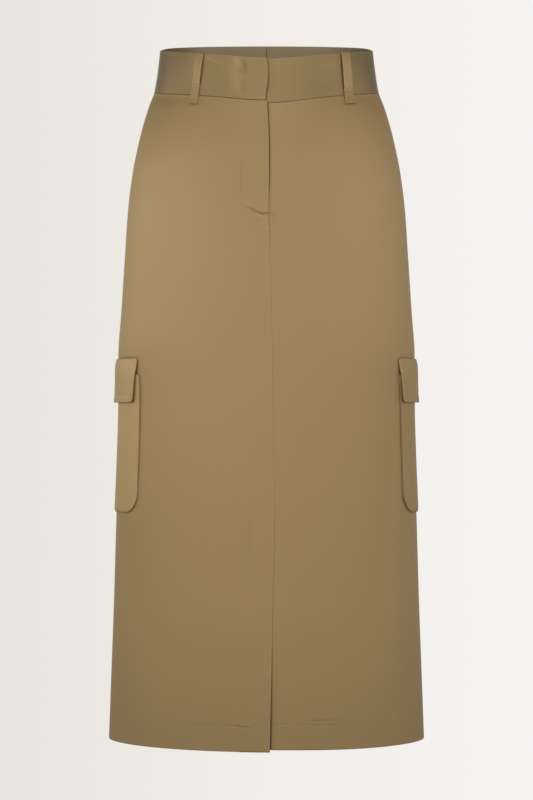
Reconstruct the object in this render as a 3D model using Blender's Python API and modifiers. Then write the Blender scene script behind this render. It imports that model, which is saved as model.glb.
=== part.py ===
"""Cargo utility skirt, modelled as it is cut and as it hangs when worn.

Metres, +Z up. The front faces -Y, the wearer's right side is at -X. The origin is the centre
of the waist ring, half way up the waistband.

Every piece is read off one surface, the outer face of the cloth. A place on it is given by
    side    -1 on the wearer's right, +1 on the wearer's left
    reach   the way along the cloth from the side seam, forward positive
    level   the height of that ring of the skirt at its side seams
    out     the way off the surface, outward positive
"""

import functools

import bpy
import numpy as np
from mathutils import Matrix, Vector

MM = 0.001
RIGHT, LEFT = -1, 1
SIDES = {"right": RIGHT, "left": LEFT}

# Rings of the skirt from the waist down, in millimetres. Tilt is a slope: the front of the
# waist hangs lower than the back. Dip is how far the ring drops further at centre front.
# Centre shift is how far the front seam stands to the wearer's left of the middle, and left
# drop is how much lower the left front hangs beside it.
SECTION_COLUMNS = (
    "level", "half_width", "front_depth", "back_depth", "roundness",
    "tilt", "dip", "centre_shift", "left_drop",
)
SECTIONS = (
    (28, 138.1, 98.0, 98.0, 2.00, 0.179, 6.1, 0.7, 0.9),
    (6, 140.5, 100.5, 101.0, 2.00, 0.170, 6.2, 0.8, 1.8),
    (-28, 145.9, 105.0, 107.0, 2.00, 0.150, 7.0, 1.0, 3.0),
    (-46, 152.6, 108.0, 112.0, 2.00, 0.135, 6.0, 1.7, 2.6),
    (-77, 162.0, 112.0, 121.0, 2.00, 0.105, 4.0, 2.9, 1.8),
    (-104, 168.3, 115.0, 128.0, 2.00, 0.080, 2.5, 3.2, 1.0),
    (-130, 173.5, 117.0, 133.0, 2.00, 0.060, 1.2, 3.2, 0.5),
    (-182, 180.0, 120.5, 139.0, 2.00, 0.025, 0.0, 3.3, 0.0),
    (-240, 183.9, 123.5, 141.0, 2.00, 0.0, 0.0, 4.3, 0.0),
    (-310, 188.4, 126.0, 141.5, 2.00, 0.0, 0.0, 5.8, 0.0),
    (-373, 192.6, 128.0, 141.0, 1.98, 0.0, 0.0, 6.9, 0.0),
    (-431, 190.8, 130.0, 140.5, 1.96, 0.0, 0.0, 7.8, 0.0),
    (-500, 192.4, 132.0, 140.0, 1.94, 0.0, 0.0, 8.7, 0.0),
    (-560, 194.4, 134.0, 140.0, 1.92, 0.0, 0.0, 9.4, 0.0),
    (-597, 195.6, 134.8, 140.0, 1.91, 0.0, 0.0, 9.5, 0.0),
    (-688, 198.2, 136.8, 140.0, 1.89, 0.0, 0.0, 8.0, 0.0),
    (-780, 201.6, 138.6, 140.0, 1.87, 0.0, 0.0, 5.6, -0.6),
    (-867, 204.8, 140.0, 140.5, 1.85, 0.0, 0.0, 3.1, -2.3),
)
PLAIN_COLUMNS = ("roundness", "tilt")
DIP_WIDTH = 72 * MM
DROP_WIDTH = 85 * MM

# Cloth
PANEL_WALL = 1.2 * MM
BAND_WALL = 2.4 * MM
FLAP_WALL = 1.6 * MM
TRIM_WALL = 1.0 * MM
SEAM_GAP = 0.3 * MM
LAYER_GAP = 0.35 * MM
HIDDEN_GAP = 0.6 * MM
SEAM_EDGE = 2 * MM

# Waistband
BAND_TOP = 28 * MM
WAIST_SEAM = -28 * MM
BAND_ROWS = 6
BAND_LIFT = 1.2 * MM
BAND_LAP = 48 * MM
BAND_LIFT_END = 80 * MM
BULGE_FROM_CENTRE = 40 * MM
BULGE_LEVEL = 10 * MM
BULGE_RADIUS = 16 * MM
BULGE_HEIGHT = 1.9 * MM
HOOK_WIDTH, HOOK_HEIGHT, HOOK_WALL = 10 * MM, 8 * MM, 0.8 * MM
HOOK_OUT = -0.65 * MM

# Front opening: the fly above, the vent below, a plain seam between
FLY_BOTTOM = -190.9 * MM
VENT_TOP = -573.8 * MM
LAP_FADE = 30 * MM
EDGE_LIFT = 0.7 * MM
LIFT_WIDTH = 22 * MM
SINK_WIDTH = 14 * MM
FLY_LAP = 6 * MM
VENT_LAP = 38 * MM
FACING_FROM, FACING_TO = 7.5 * MM, 33 * MM
FACING_TOP = -34 * MM
FACING_CURVE = 26 * MM
ZIP_TOP, ZIP_CHAIN_TOP, ZIP_BOTTOM = -37 * MM, -56 * MM, -186 * MM
ZIP_HALF, ZIP_CHAIN_HALF, ZIP_CHAIN_WALL = 12 * MM, 3 * MM, 2.2 * MM
ZIP_OUT = -3.0 * MM
SLIDER_SIZE = (8 * MM, 3 * MM, 11 * MM)
SLIDER_LEVEL = -46 * MM

# Hem
HEM = -866.7 * MM
TURN_UP = 32.5 * MM
HEM_WALL = 2.4 * MM
HEM_PLAIN_AT_VENT = 46 * MM

# Cargo pocket over the side seam. The skirt hangs turned a little, so the wearer's right
# pocket lies forward of its seam and the left one behind it, by the shift.
POCKET_MOUTH = -396.1 * MM
POCKET_BOTTOM = -572.9 * MM
POCKET_HALF = 71.5 * MM
POCKET_SHIFTS = {RIGHT: 6 * MM, LEFT: 10 * MM}
POCKET_CORNER = 26 * MM
FACE_INSET = 2.3 * MM
FACE_OUT_MOUTH, FACE_OUT_BOTTOM, FACE_OUT_EDGE = 1.9 * MM, 2.8 * MM, 3.8 * MM
GUSSET_WIDTH = 3.2 * MM
GUSSET_OUT = 1.45 * MM

# Flap, rows from its seam down: level, half width, outer face off the panel at the side seam
# and at its two ends
FLAP_COLUMNS = ("level", "half_width", "out_middle", "out_ends")
FLAP_ROWS = (
    (-374.0, 68.5, 2.4, 2.4),
    (-377.0, 71.5, 3.3, 3.5),
    (-385.0, 71.3, 4.5, 5.0),
    (-397.0, 70.8, 5.1, 6.4),
    (-413.0, 70.1, 6.2, 7.9),
    (-431.2, 69.5, 7.4, 9.2),
)
FLAP_SHIFT = 3 * MM

# Belt loops: the way from centre front along the band at its top and at the loop's end, and
# the loop's width. The two front loops turn over the band's top edge, the others end just
# under it, and the one not listed lies on the centre back seam.
BACK_LOOP_WIDTH = 11 * MM
LOOP_END = 11.6 * MM
LOOP_UNDER_TOP = 0.7 * MM
LOOP_COLUMNS = ("name", "side", "from_centre_top", "from_centre_end", "width", "turns_over")
LOOPS = (
    ("belt_loop_front_right", RIGHT, 88.6, 96.6, 10.2, True),
    ("belt_loop_front_left", LEFT, 106.3, 112.3, 12.6, True),
    ("belt_loop_side_right", RIGHT, 262, 276, 11.0, False),
    ("belt_loop_side_left", LEFT, 262, 276, 11.0, False),
)
# Outline of a loop from its end up: height over its end in hundredths of its length, and the
# outer face off the band; then its rows over the band's top edge, as rise over it and out
LOOP_PROFILE = (
    (0, 1.7), (5, 1.9), (17, 2.0), (30, 1.9), (37, 1.7), (43, 2.3),
    (58, 3.3), (74, 3.6), (88, 2.9), (96, 2.1),
)
LOOP_TURN = ((0.8, 1.3), (1.3, 0.3), (1.3, -2.2))

# Rows and columns of the panels' grids, in millimetres
PANEL_LEVELS = (
    -37, -50, -68, -90, -118, -150, -190.9, -240, -300, -345, -374, -397, -431.2,
    -480, -530, -573.8, -635, -705, -775,
)
NEAR_SIDE = (16, 32, 48, 64, 80)
FRONT_CELLS, BACK_CELLS, BAND_CELLS = 4, 6, 18

CLOTH_COLOUR = (0.328, 0.233, 0.107)
METAL_COLOUR = (0.55, 0.50, 0.38)
TAPE_COLOUR = (0.24, 0.17, 0.08)


def read_table(columns, rows, name, plain=()):
    """One named column of a table, in metres, or as written for a column listed in plain."""
    values = np.array([row[columns.index(name)] for row in rows], float)
    return values if name in plain else values * MM


def smooth_read(places, values, at):
    """Monotone cubic curve through the values, read at other places; places ascend."""
    width = np.diff(places)
    slope = np.diff(values) / width
    turns = slope[:-1] * slope[1:] > 0
    both = np.where(turns, slope[:-1] + slope[1:], 1.0)
    inner = np.where(turns, 2 * slope[:-1] * slope[1:] / both, 0.0)
    tangent = np.concatenate([slope[:1], inner, slope[-1:]])
    cell = np.clip(np.searchsorted(places, at) - 1, 0, len(width) - 1)
    t = (at - places[cell]) / width[cell]
    rise = tangent[cell] * t * (1 - t) ** 2 - tangent[cell + 1] * t * t * (1 - t)
    step = t * t * (3 - 2 * t)
    return values[cell] * (1 - step) + values[cell + 1] * step + width[cell] * rise


def section(level):
    """The skirt's ring at a level, as named values."""
    places = read_table(SECTION_COLUMNS, SECTIONS, "level")[::-1]
    ring = {}
    for name in SECTION_COLUMNS[1:]:
        values = read_table(SECTION_COLUMNS, SECTIONS, name, PLAIN_COLUMNS)[::-1]
        ring[name] = smooth_read(places, values, level)
    return ring


def fade(t):
    """1 at 0 and before, 0 at 1 and after, smooth between."""
    t = np.clip(t, 0, 1)
    return 1 - t * t * (3 - 2 * t)


def skin(side, turn, level):
    """Points of the outer face. Turn runs from centre front, 0, by the side, to centre back."""
    ring = section(level)
    ahead = np.cos(turn)
    across = np.sin(turn)
    depth = np.where(ahead > 0, ring["front_depth"], ring["back_depth"])
    power = ring["roundness"]
    parts = np.abs(across / ring["half_width"]) ** power + np.abs(ahead / depth) ** power
    radius = parts ** (-1 / power)
    x = side * radius * across
    y = -radius * ahead
    dip = ring["dip"] * np.exp(-((x / DIP_WIDTH) ** 2)) * np.clip(ahead, 0, 1)
    return np.stack([x, y, level + ring["tilt"] * y - dip], axis=-1)


# Turns at which the length along a ring is measured, past centre front for the under-laps and
# a little past centre back
TURNS = np.linspace(-0.75, np.pi + 0.2, 600)


@functools.lru_cache(maxsize=None)
def ring_reaches(level):
    """The reach of each of TURNS on the ring at this level, positive before the side seam."""
    points = skin(LEFT, TURNS, np.full(TURNS.shape, level))
    length = np.concatenate([[0], np.cumsum(np.linalg.norm(np.diff(points, axis=0), axis=1))])
    return np.interp(np.pi / 2, TURNS, length) - length


def turn_of(reach, level):
    """The turn at which a reach ends, for arrays of reach and level."""
    turn = np.empty(reach.shape)
    for one in np.unique(level):
        here = level == one
        turn[here] = np.interp(-reach[here], -ring_reaches(float(one)), TURNS)
    return turn


def reach_of_turn(turn, level):
    return float(np.interp(turn, TURNS, ring_reaches(float(level))))


def centre_front(side, level):
    """Reach of the front seam on one side of the skirt."""
    return reach_of_turn(0, level) - side * float(section(level)["centre_shift"])


def centre_back(level):
    return reach_of_turn(np.pi, level)


def place(side, reach, level, out):
    """World points of places on and off the cloth's outer face."""
    reach, level, out = np.broadcast_arrays(reach, level, out)
    reach, level = reach.astype(float), level.astype(float)
    turn = turn_of(reach, level)
    if side == LEFT:
        front = np.vectorize(lambda one: centre_front(LEFT, one))(level)
        beside = np.exp(-((np.maximum(front - reach, 0) / DROP_WIDTH) ** 2))
        level = level - section(level)["left_drop"] * beside
    nudge = 1e-4
    around = skin(side, turn + nudge, level) - skin(side, turn - nudge, level)
    upward = skin(side, turn, level + nudge) - skin(side, turn, level - nudge)
    normal = side * np.cross(around, upward)
    normal /= np.linalg.norm(normal, axis=-1, keepdims=True)
    return skin(side, turn, level) + normal * out[..., None]


def lap(level):
    """1 where the right front laps over the left, at the fly and at the vent; 0 on the seam."""
    fly = fade((FLY_BOTTOM - level) / LAP_FADE)
    vent = fade((level - VENT_TOP) / LAP_FADE)
    return np.maximum(fly, vent)


def front_lift(from_centre, level):
    """How far the right front's edge stands proud."""
    return EDGE_LIFT * lap(level) * fade(from_centre / LIFT_WIDTH)


def band_lift(from_centre, level):
    """How far the right end of the waistband stands proud, with the bulge over its hook."""
    lift = BAND_LIFT * fade((from_centre - BAND_LAP) / (BAND_LIFT_END - BAND_LAP))
    away = np.hypot(from_centre - BULGE_FROM_CENTRE, level - BULGE_LEVEL)
    return lift + BULGE_HEIGHT * fade(away / BULGE_RADIUS)


def material(name, colour, roughness, metallic):
    made = bpy.data.materials.new(name)
    made.use_nodes = True
    shader = made.node_tree.nodes["Principled BSDF"]
    shader.inputs["Base Color"].default_value = (*colour, 1)
    shader.inputs["Roughness"].default_value = roughness
    shader.inputs["Metallic"].default_value = metallic
    return made


def finish(piece, collection, colour, roughness, metallic):
    """Give an object its material, smooth faces and its place in the collection."""
    piece.data.materials.append(material(piece.name, colour, roughness, metallic))
    piece.data.shade_smooth()
    for holder in piece.users_collection:
        holder.objects.unlink(piece)
    collection.objects.link(piece)


def cloth(name, points, wall, collection, keep=None, thick=None,
          colour=CLOTH_COLOUR, roughness=0.55, metallic=0.0):
    """A piece of cloth: a grid of points on its outer face, given its wall inward.

    keep says which cells of the grid are there. thick holds, for each point, its wall as a
    share of wall.
    """
    rows, columns = points.shape[:2]
    index = np.arange(rows * columns).reshape(rows, columns)
    quads = np.stack([index[:-1, :-1], index[1:, :-1], index[1:, 1:], index[:-1, 1:]], axis=-1)
    corner = points[0, 0]
    facing = np.cross(points[1, 0] - corner, points[0, 1] - corner)
    if facing[:2] @ corner[:2] < 0:
        quads = quads[..., ::-1]
    if keep is not None:
        quads = quads[keep]
    quads = quads.reshape(-1, 4)
    used, renumbered = np.unique(quads, return_inverse=True)
    mesh = bpy.data.meshes.new(name)
    mesh.from_pydata(points.reshape(-1, 3)[used].tolist(), [], renumbered.reshape(-1, 4).tolist())
    piece = bpy.data.objects.new(name, mesh)
    collection.objects.link(piece)
    solid = piece.modifiers.new("wall", "SOLIDIFY")
    solid.thickness = wall
    solid.offset = -1
    solid.use_even_offset = True
    if thick is not None:
        group = piece.vertex_groups.new(name="wall")
        share = thick.reshape(-1)[used]
        least = float(share.min())
        for number, value in enumerate((share - least) / (1 - least)):
            group.add([number], float(value), "REPLACE")
        solid.vertex_group = group.name
        solid.thickness_vertex_group = least
    finish(piece, collection, colour, roughness, metallic)
    return piece


def grid(side, levels, reaches_at, out_at):
    """Points of a grid: reaches_at and out_at give each row's reaches and their out."""
    rows = []
    for level in levels:
        reach = np.asarray(reaches_at(level), float)
        rows.append(place(side, reach, np.full(reach.shape, level), out_at(reach, level)))
    return np.array(rows)


def panel_levels():
    """Rows of a panel from the waist seam down, the last cell being the hem's turn-up."""
    turn_up = HEM + TURN_UP
    inner = [level * MM for level in PANEL_LEVELS]
    return [WAIST_SEAM - SEAM_GAP / 2, *inner, turn_up + MM, turn_up, HEM]


def hem_share(levels, plain):
    """Share of the hem's wall at each point of a panel: whole on the turn-up, save where plain."""
    turned = np.array(levels)[:, None] < HEM + TURN_UP + MM / 2
    return np.where(turned & ~plain, 1.0, PANEL_WALL / HEM_WALL)


def front_panel(name, side, collection):
    """One front, from the side seam to the centre front, the left one with its under-laps."""
    levels = panel_levels()
    from_centre = [HEM_PLAIN_AT_VENT, 26 * MM, 12 * MM, SEAM_GAP / 2]
    if side == LEFT:
        from_centre += [-FLY_LAP, -VENT_LAP / 2, -VENT_LAP]

    def reaches(level):
        centre = centre_front(side, level)
        side_part = [SEAM_GAP / 2, SEAM_EDGE, *(near * MM for near in NEAR_SIDE)]
        middle = np.linspace(side_part[-1], centre - from_centre[0], FRONT_CELLS + 1)[1:-1]
        return [*side_part, *middle, *(centre - one for one in from_centre)]

    def out(reach, level):
        away = centre_front(side, level) - reach
        if side == RIGHT:
            return front_lift(away, level)
        under = PANEL_WALL + LAYER_GAP - EDGE_LIFT
        beneath = front_lift(-away, level) - PANEL_WALL - LAYER_GAP
        return np.where(away > 0, -under * lap(level) * fade(away / SINK_WIDTH), beneath)

    points = grid(side, levels, reaches, out)
    keep = np.ones((points.shape[0] - 1, points.shape[1] - 1), bool)
    plain = np.zeros(points.shape[:2], bool)
    if side == LEFT:
        top, bottom = np.array(levels[:-1]), np.array(levels[1:])
        in_vent = top <= VENT_TOP + SEAM_GAP
        in_fly = bottom >= FLY_BOTTOM - SEAM_GAP
        keep[:, -1] = keep[:, -2] = in_vent
        keep[:, -3] = in_vent | in_fly
    else:
        plain[:, -len(from_centre):] = True
    return cloth(name, points, HEM_WALL, collection, keep, hem_share(levels, plain))


def back_panel(name, side, collection):
    """One back, from the side seam to the centre back seam."""
    levels = panel_levels()

    def reaches(level):
        centre = centre_back(level) + SEAM_GAP / 2
        side_part = [-SEAM_GAP / 2, -SEAM_EDGE, *(-near * MM for near in NEAR_SIDE)]
        middle = np.linspace(side_part[-1], centre + SEAM_EDGE, BACK_CELLS + 1)[1:]
        return [*side_part, *middle, centre]

    points = grid(side, levels, reaches, lambda reach, level: np.zeros(reach.shape))
    plain = np.zeros(points.shape[:2], bool)
    return cloth(name, points, HEM_WALL, collection, thick=hem_share(levels, plain))


def waistband(name, side, collection):
    """Half of the waistband, from the centre front to the centre back."""
    levels = np.linspace(BAND_TOP, WAIST_SEAM + SEAM_GAP / 2, BAND_ROWS + 1)
    from_centre = [SEAM_GAP / 2, *(step * MM for step in (8, 16, 24, 32, 40, 48, 56, 68))]
    if side == LEFT:
        from_centre = [-BAND_LAP, *(-step * MM for step in (36, 24, 12)), *from_centre]

    def reaches(level):
        front = [centre_front(side, level) - one for one in from_centre]
        back = centre_back(level) + SEAM_GAP / 2
        rest = np.linspace(front[-1], back + SEAM_EDGE, BAND_CELLS + 1)[1:]
        return [*front, *rest, back]

    def out(reach, level):
        away = centre_front(side, level) - reach
        if side == RIGHT:
            return band_lift(away, level)
        under = BAND_WALL + HIDDEN_GAP - BAND_LIFT
        flat = BAND_LIFT * fade((-away - BAND_LAP) / (BAND_LIFT_END - BAND_LAP))
        beneath = flat - BAND_WALL - HIDDEN_GAP
        return np.where(away > 0, -under * fade(away / SINK_WIDTH), beneath)

    return cloth(name, grid(side, levels, reaches, out), BAND_WALL, collection)


def waist_hook(collection):
    """The flat hook between the two ends of the waistband."""
    columns = np.linspace(-HOOK_WIDTH / 2, HOOK_WIDTH / 2, 3)
    rows = BULGE_LEVEL + np.linspace(HOOK_HEIGHT / 2, -HOOK_HEIGHT / 2, 3)

    def reaches(level):
        return centre_front(RIGHT, level) - BULGE_FROM_CENTRE + columns

    points = grid(RIGHT, rows, reaches, lambda reach, level: np.full(reach.shape, HOOK_OUT))
    return cloth("waist_hook", points, HOOK_WALL, collection,
                 colour=METAL_COLOUR, roughness=0.3, metallic=1.0)


def fly_facing(collection):
    """J-shaped facing inside the right front, its lower end curved in to the fly's bottom."""
    straight = np.linspace(FACING_TOP, FLY_BOTTOM + FACING_CURVE, 6)
    sweep = np.linspace(0, np.pi / 2, 7)[1:]
    curved = FLY_BOTTOM + FACING_CURVE * (1 - np.sin(sweep * 0.94))
    levels = [*straight, *curved]

    def reaches(level):
        low = np.clip((FLY_BOTTOM + FACING_CURVE - level) / FACING_CURVE, 0, 1)
        wide = FACING_FROM + (FACING_TO - FACING_FROM) * np.sqrt(1 - low**2)
        return centre_front(RIGHT, level) - np.linspace(wide, FACING_FROM, 5)

    def out(reach, level):
        away = centre_front(RIGHT, level) - reach
        return front_lift(away, level) - PANEL_WALL - HIDDEN_GAP

    return cloth("fly_facing", grid(RIGHT, levels, reaches, out), TRIM_WALL, collection)


def fly_zip(collection):
    """The closed zip behind the fly: its tape, thicker along the chain of teeth."""
    levels = [ZIP_TOP, ZIP_CHAIN_TOP + MM, ZIP_CHAIN_TOP,
              *np.linspace(ZIP_CHAIN_TOP, ZIP_BOTTOM, 6)[1:]]
    columns = np.array([-ZIP_HALF, -ZIP_CHAIN_HALF - MM / 2, -ZIP_CHAIN_HALF,
                        ZIP_CHAIN_HALF, ZIP_CHAIN_HALF + MM / 2, ZIP_HALF])

    def reaches(level):
        return centre_front(RIGHT, level) + columns

    points = grid(RIGHT, levels, reaches, lambda reach, level: np.full(reach.shape, ZIP_OUT))
    chain = (np.array(levels)[:, None] <= ZIP_CHAIN_TOP) & (np.abs(columns) <= ZIP_CHAIN_HALF)
    share = np.where(chain, 1.0, TRIM_WALL / ZIP_CHAIN_WALL)
    return cloth("zip", points, ZIP_CHAIN_WALL, collection, thick=share,
                 colour=TAPE_COLOUR, roughness=0.7)


def zip_slider(collection):
    """The zip's slider, a rounded block at the top of the chain, behind the tape."""
    bpy.ops.mesh.primitive_cube_add(size=1)
    piece = bpy.context.object
    piece.name = "zip_slider"
    piece.data.transform(Matrix.Diagonal((*SLIDER_SIZE, 1)))
    reach = centre_front(RIGHT, SLIDER_LEVEL)
    out = ZIP_OUT - TRIM_WALL - HIDDEN_GAP - SLIDER_SIZE[1] / 2
    here = Vector(place(RIGHT, reach, SLIDER_LEVEL, out))
    upward = (Vector(place(RIGHT, reach, SLIDER_LEVEL + MM, out)) - here).normalized()
    inward = (Vector(place(RIGHT, reach, SLIDER_LEVEL, out - MM)) - here).normalized()
    turned = Matrix((inward.cross(upward), inward, upward)).transposed()
    piece.matrix_world = Matrix.Translation(here) @ turned.to_4x4()
    bevel = piece.modifiers.new("rounded", "BEVEL")
    bevel.width = 0.8 * MM
    bevel.segments = 2
    finish(piece, collection, METAL_COLOUR, 0.3, 1.0)
    return piece


def loop_middle(loop, level, way):
    """Reach of a listed loop's middle at a level that is this share of its way up."""
    end, top = loop["from_centre_end"], loop["from_centre_top"]
    return reach_of_turn(0, level) - (end + (top - end) * way) * MM


def belt_loop(name, side, middle_at, width, turns_over, collection):
    """A strip from below the waist seam up the band, to its top edge or over it.

    middle_at gives the reach of its middle from the level there and the share of the way up.
    """
    end = WAIST_SEAM - LOOP_END
    rows = []
    for share, out in LOOP_PROFILE:
        rows.append((end + (BAND_TOP - end) * share / 100, out * MM))
    if turns_over:
        for rise, out in LOOP_TURN:
            rows.append((BAND_TOP + rise * MM, out * MM))
    else:
        rows.append((BAND_TOP - LOOP_UNDER_TOP, rows[-1][1]))
    across = np.linspace(-width / 2, width / 2, 3)
    points = []
    for level, out in rows:
        on_band = min(level, BAND_TOP)
        middle = middle_at(on_band, (on_band - end) / (BAND_TOP - end))
        points.append(place(side, middle + across, level, out))
    return cloth(name, np.array(points), TRIM_WALL, collection)


def pocket_out(reach, level):
    """How far the outer face of the pocket stands off the panel."""
    down = np.clip((POCKET_MOUTH - level) / (POCKET_MOUTH - POCKET_BOTTOM), 0, 1)
    middle = FACE_OUT_MOUTH + (FACE_OUT_BOTTOM - FACE_OUT_MOUTH) * down**2
    return middle + (FACE_OUT_EDGE - middle) * np.clip(np.abs(reach) / POCKET_HALF, 0, 1) ** 2


def pocket_face(name, side, collection):
    """The pocket's outer face, its lower corners round."""
    corner = POCKET_CORNER - FACE_INSET
    centre = POCKET_BOTTOM + POCKET_CORNER
    straight = np.linspace(POCKET_MOUTH, centre, 6)
    levels = [*straight, *(centre - corner * np.sin(np.linspace(0, np.pi / 2, 6)[1:]))]

    def reaches(level):
        below = np.clip(centre - level, 0, corner)
        half = POCKET_HALF - POCKET_CORNER + np.sqrt(corner**2 - below**2)
        return np.linspace(-half, half, 11) - side * POCKET_SHIFTS[side]

    def out(reach, level):
        return pocket_out(reach + side * POCKET_SHIFTS[side], level)

    return cloth(name, grid(side, levels, reaches, out), TRIM_WALL, collection)


def pocket_outline(inset):
    """Reach and level along the pocket's edge, from its front mouth corner to its back one."""
    side_levels = np.linspace(POCKET_MOUTH, POCKET_BOTTOM + POCKET_CORNER, 8)
    sweep = np.linspace(0, np.pi / 2, 7)[1:-1]
    radius = POCKET_CORNER - inset
    flat = POCKET_HALF - POCKET_CORNER
    bottom = np.linspace(flat, -flat, 9)
    reach = np.concatenate([
        np.full(8, POCKET_HALF - inset), flat + radius * np.cos(sweep), bottom,
        -flat - radius * np.cos(sweep[::-1]), np.full(8, inset - POCKET_HALF),
    ])
    centre = POCKET_BOTTOM + POCKET_CORNER
    level = np.concatenate([
        side_levels, centre - radius * np.sin(sweep), np.full(9, POCKET_BOTTOM + inset),
        centre - radius * np.sin(sweep[::-1]), side_levels[::-1],
    ])
    return reach, level


def pocket_gusset(name, side, collection):
    """The strip round the pocket, from the panel up to the edge of the face."""
    rows = []
    for share in (0, 0.5, 1):
        reach, level = pocket_outline(GUSSET_WIDTH * share)
        top = pocket_out(reach, level) - TRIM_WALL - HIDDEN_GAP
        out = GUSSET_OUT + (np.maximum(top, GUSSET_OUT) - GUSSET_OUT) * share
        rows.append(place(side, reach - side * POCKET_SHIFTS[side], level, out))
    return cloth(name, np.array(rows), TRIM_WALL, collection)


def pocket_flap(name, side, collection):
    """The flap, sewn above the pocket's mouth and standing off over it."""
    column = functools.partial(read_table, FLAP_COLUMNS, FLAP_ROWS)
    rows = []
    for level, half, middle, ends in zip(column("level"), column("half_width"),
                                         column("out_middle"), column("out_ends")):
        across = np.linspace(-1, 1, 11)
        out = middle + (ends - middle) * across**2
        rows.append(place(side, half * across - side * FLAP_SHIFT, level, out))
    return cloth(name, np.array(rows), FLAP_WALL, collection)


def build():
    for thing in list(bpy.data.objects):
        bpy.data.objects.remove(thing, do_unlink=True)
    collection = bpy.data.collections.new("cargo_utility_skirt")
    bpy.context.scene.collection.children.link(collection)

    for word, side in SIDES.items():
        waistband(f"waistband_{word}", side, collection)
        front_panel(f"front_{word}", side, collection)
        back_panel(f"back_{word}", side, collection)
        pocket_face(f"pocket_{word}", side, collection)
        pocket_gusset(f"pocket_gusset_{word}", side, collection)
        pocket_flap(f"flap_{word}", side, collection)
    waist_hook(collection)
    fly_facing(collection)
    fly_zip(collection)
    zip_slider(collection)

    for row in LOOPS:
        loop = dict(zip(LOOP_COLUMNS, row))
        belt_loop(loop["name"], loop["side"], functools.partial(loop_middle, loop),
                  loop["width"] * MM, loop["turns_over"], collection)
    belt_loop("belt_loop_back", LEFT, lambda level, way: centre_back(level), BACK_LOOP_WIDTH,
              False, collection)


build()
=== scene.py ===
"""Cargo utility skirt in khaki satin: its cloth, its trims and a plain studio.

Laid out as an add-on and run as a script. Metres, +Z up, the front faces -Y and the wearer's
right side is at -X. Every cloth piece is a grid of places on one surface, the skirt's outer
face. A place on it is given by
    side    -1 on the wearer's right, +1 on the wearer's left
    reach   the way along the cloth from the side seam, forward positive
    level   the height of that ring of the skirt at its side seams
    out     the way off the surface, outward positive
"""

from functools import partial, reduce

import bpy
import numpy as np
from bpy.props import FloatProperty, FloatVectorProperty, PointerProperty
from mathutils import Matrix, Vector


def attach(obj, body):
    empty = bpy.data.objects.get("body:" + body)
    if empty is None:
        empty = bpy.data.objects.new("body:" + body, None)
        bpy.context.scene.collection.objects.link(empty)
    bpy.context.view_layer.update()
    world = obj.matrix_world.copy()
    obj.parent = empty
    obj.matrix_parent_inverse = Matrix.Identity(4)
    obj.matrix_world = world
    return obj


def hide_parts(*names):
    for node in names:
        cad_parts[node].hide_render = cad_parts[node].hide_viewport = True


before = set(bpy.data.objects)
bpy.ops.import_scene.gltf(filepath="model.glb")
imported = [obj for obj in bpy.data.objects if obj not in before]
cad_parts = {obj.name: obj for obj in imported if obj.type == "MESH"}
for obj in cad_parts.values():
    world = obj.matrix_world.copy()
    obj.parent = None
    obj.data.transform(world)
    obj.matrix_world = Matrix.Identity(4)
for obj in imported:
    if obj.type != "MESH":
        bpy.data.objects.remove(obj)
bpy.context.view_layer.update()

bl_info = {
    "name": "Cargo utility skirt",
    "version": (1, 0, 0),
    "blender": (4, 5, 0),
    "location": "3D View > Sidebar > Skirt",
    "description": "Cloth, trims and studio of a satin cargo skirt on its CAD frame",
    "category": "Object",
}

MM = 0.001
RIGHT, LEFT = -1, 1
WORD = {RIGHT: "right", LEFT: "left"}


def mm(*lengths):
    """Lengths in millimetres, as metres."""
    return [length * MM for length in lengths]


# -------- sizes

# Tables by level run from the top down; their columns are listed with their units
SECTION_UNITS = {
    "level": MM, "half_width": MM, "front_depth": MM, "back_depth": MM, "roundness": 1,
    "tilt": 1, "dip": MM, "centre_shift": MM, "left_drop": MM,
}
SECTIONS = (
    (28, 138.1, 98, 98, 2, 0.179, 6.1, 0.7, 0.9),
    (6, 140.5, 100.5, 101, 2, 0.17, 6.2, 0.8, 1.8),
    (-28, 145.9, 105, 107, 2, 0.15, 7, 1, 3),
    (-46, 152.6, 108, 112, 2, 0.135, 6, 1.7, 2.6),
    (-77, 162, 112, 121, 2, 0.105, 4, 2.9, 1.8),
    (-104, 168.3, 115, 128, 2, 0.08, 2.5, 3.2, 1),
    (-130, 173.5, 117, 133, 2, 0.06, 1.2, 3.2, 0.5),
    (-182, 180, 120.5, 139, 2, 0.025, 0, 2.7, 0),
    (-240, 183.9, 123.5, 141, 2, 0, 0, 3.8, 0),
    (-310, 188.4, 126, 141.5, 2, 0, 0, 5.8, 0),
    (-373, 192.6, 128, 141, 1.98, 0, 0, 6.9, 0),
    (-431, 190.8, 130, 140.5, 1.96, 0, 0, 7.8, 0),
    (-500, 192.4, 132, 140, 1.94, 0, 0, 8.7, 0),
    (-560, 194.4, 134, 140, 1.92, 0, 0, 9.4, 0),
    (-597, 195.6, 134.8, 140, 1.91, 0, 0, 9.5, 0),
    (-688, 198.2, 136.8, 140, 1.89, 0, 0, 7.5, 0),
    (-780, 201.6, 138.6, 140, 1.87, 0, 0, 6.1, -0.6),
    (-867, 204.8, 140, 140.5, 1.85, 0, 0, 4, -2.3),
)
DIP_WIDTH, DROP_WIDTH = mm(72, 85)

BAND_TOP, WAIST_SEAM, BAND_WALL, BAND_ROUND, UNDER_BAND = mm(28, -28, 2.4, 0.6, 0.6)
BAND_LIFT, BAND_LAP, BAND_LIFT_END, TOP_SAG, TOP_SAG_WIDTH = mm(1.2, 48, 80, 1.8, 26)
BULGE_FROM_CENTRE, BULGE_LEVEL, BULGE_HEIGHT = mm(39.5, 14, 1.5)
BULGE_REACH_SIDE, BULGE_REACH_FRONT = mm(15, 12)
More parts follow.
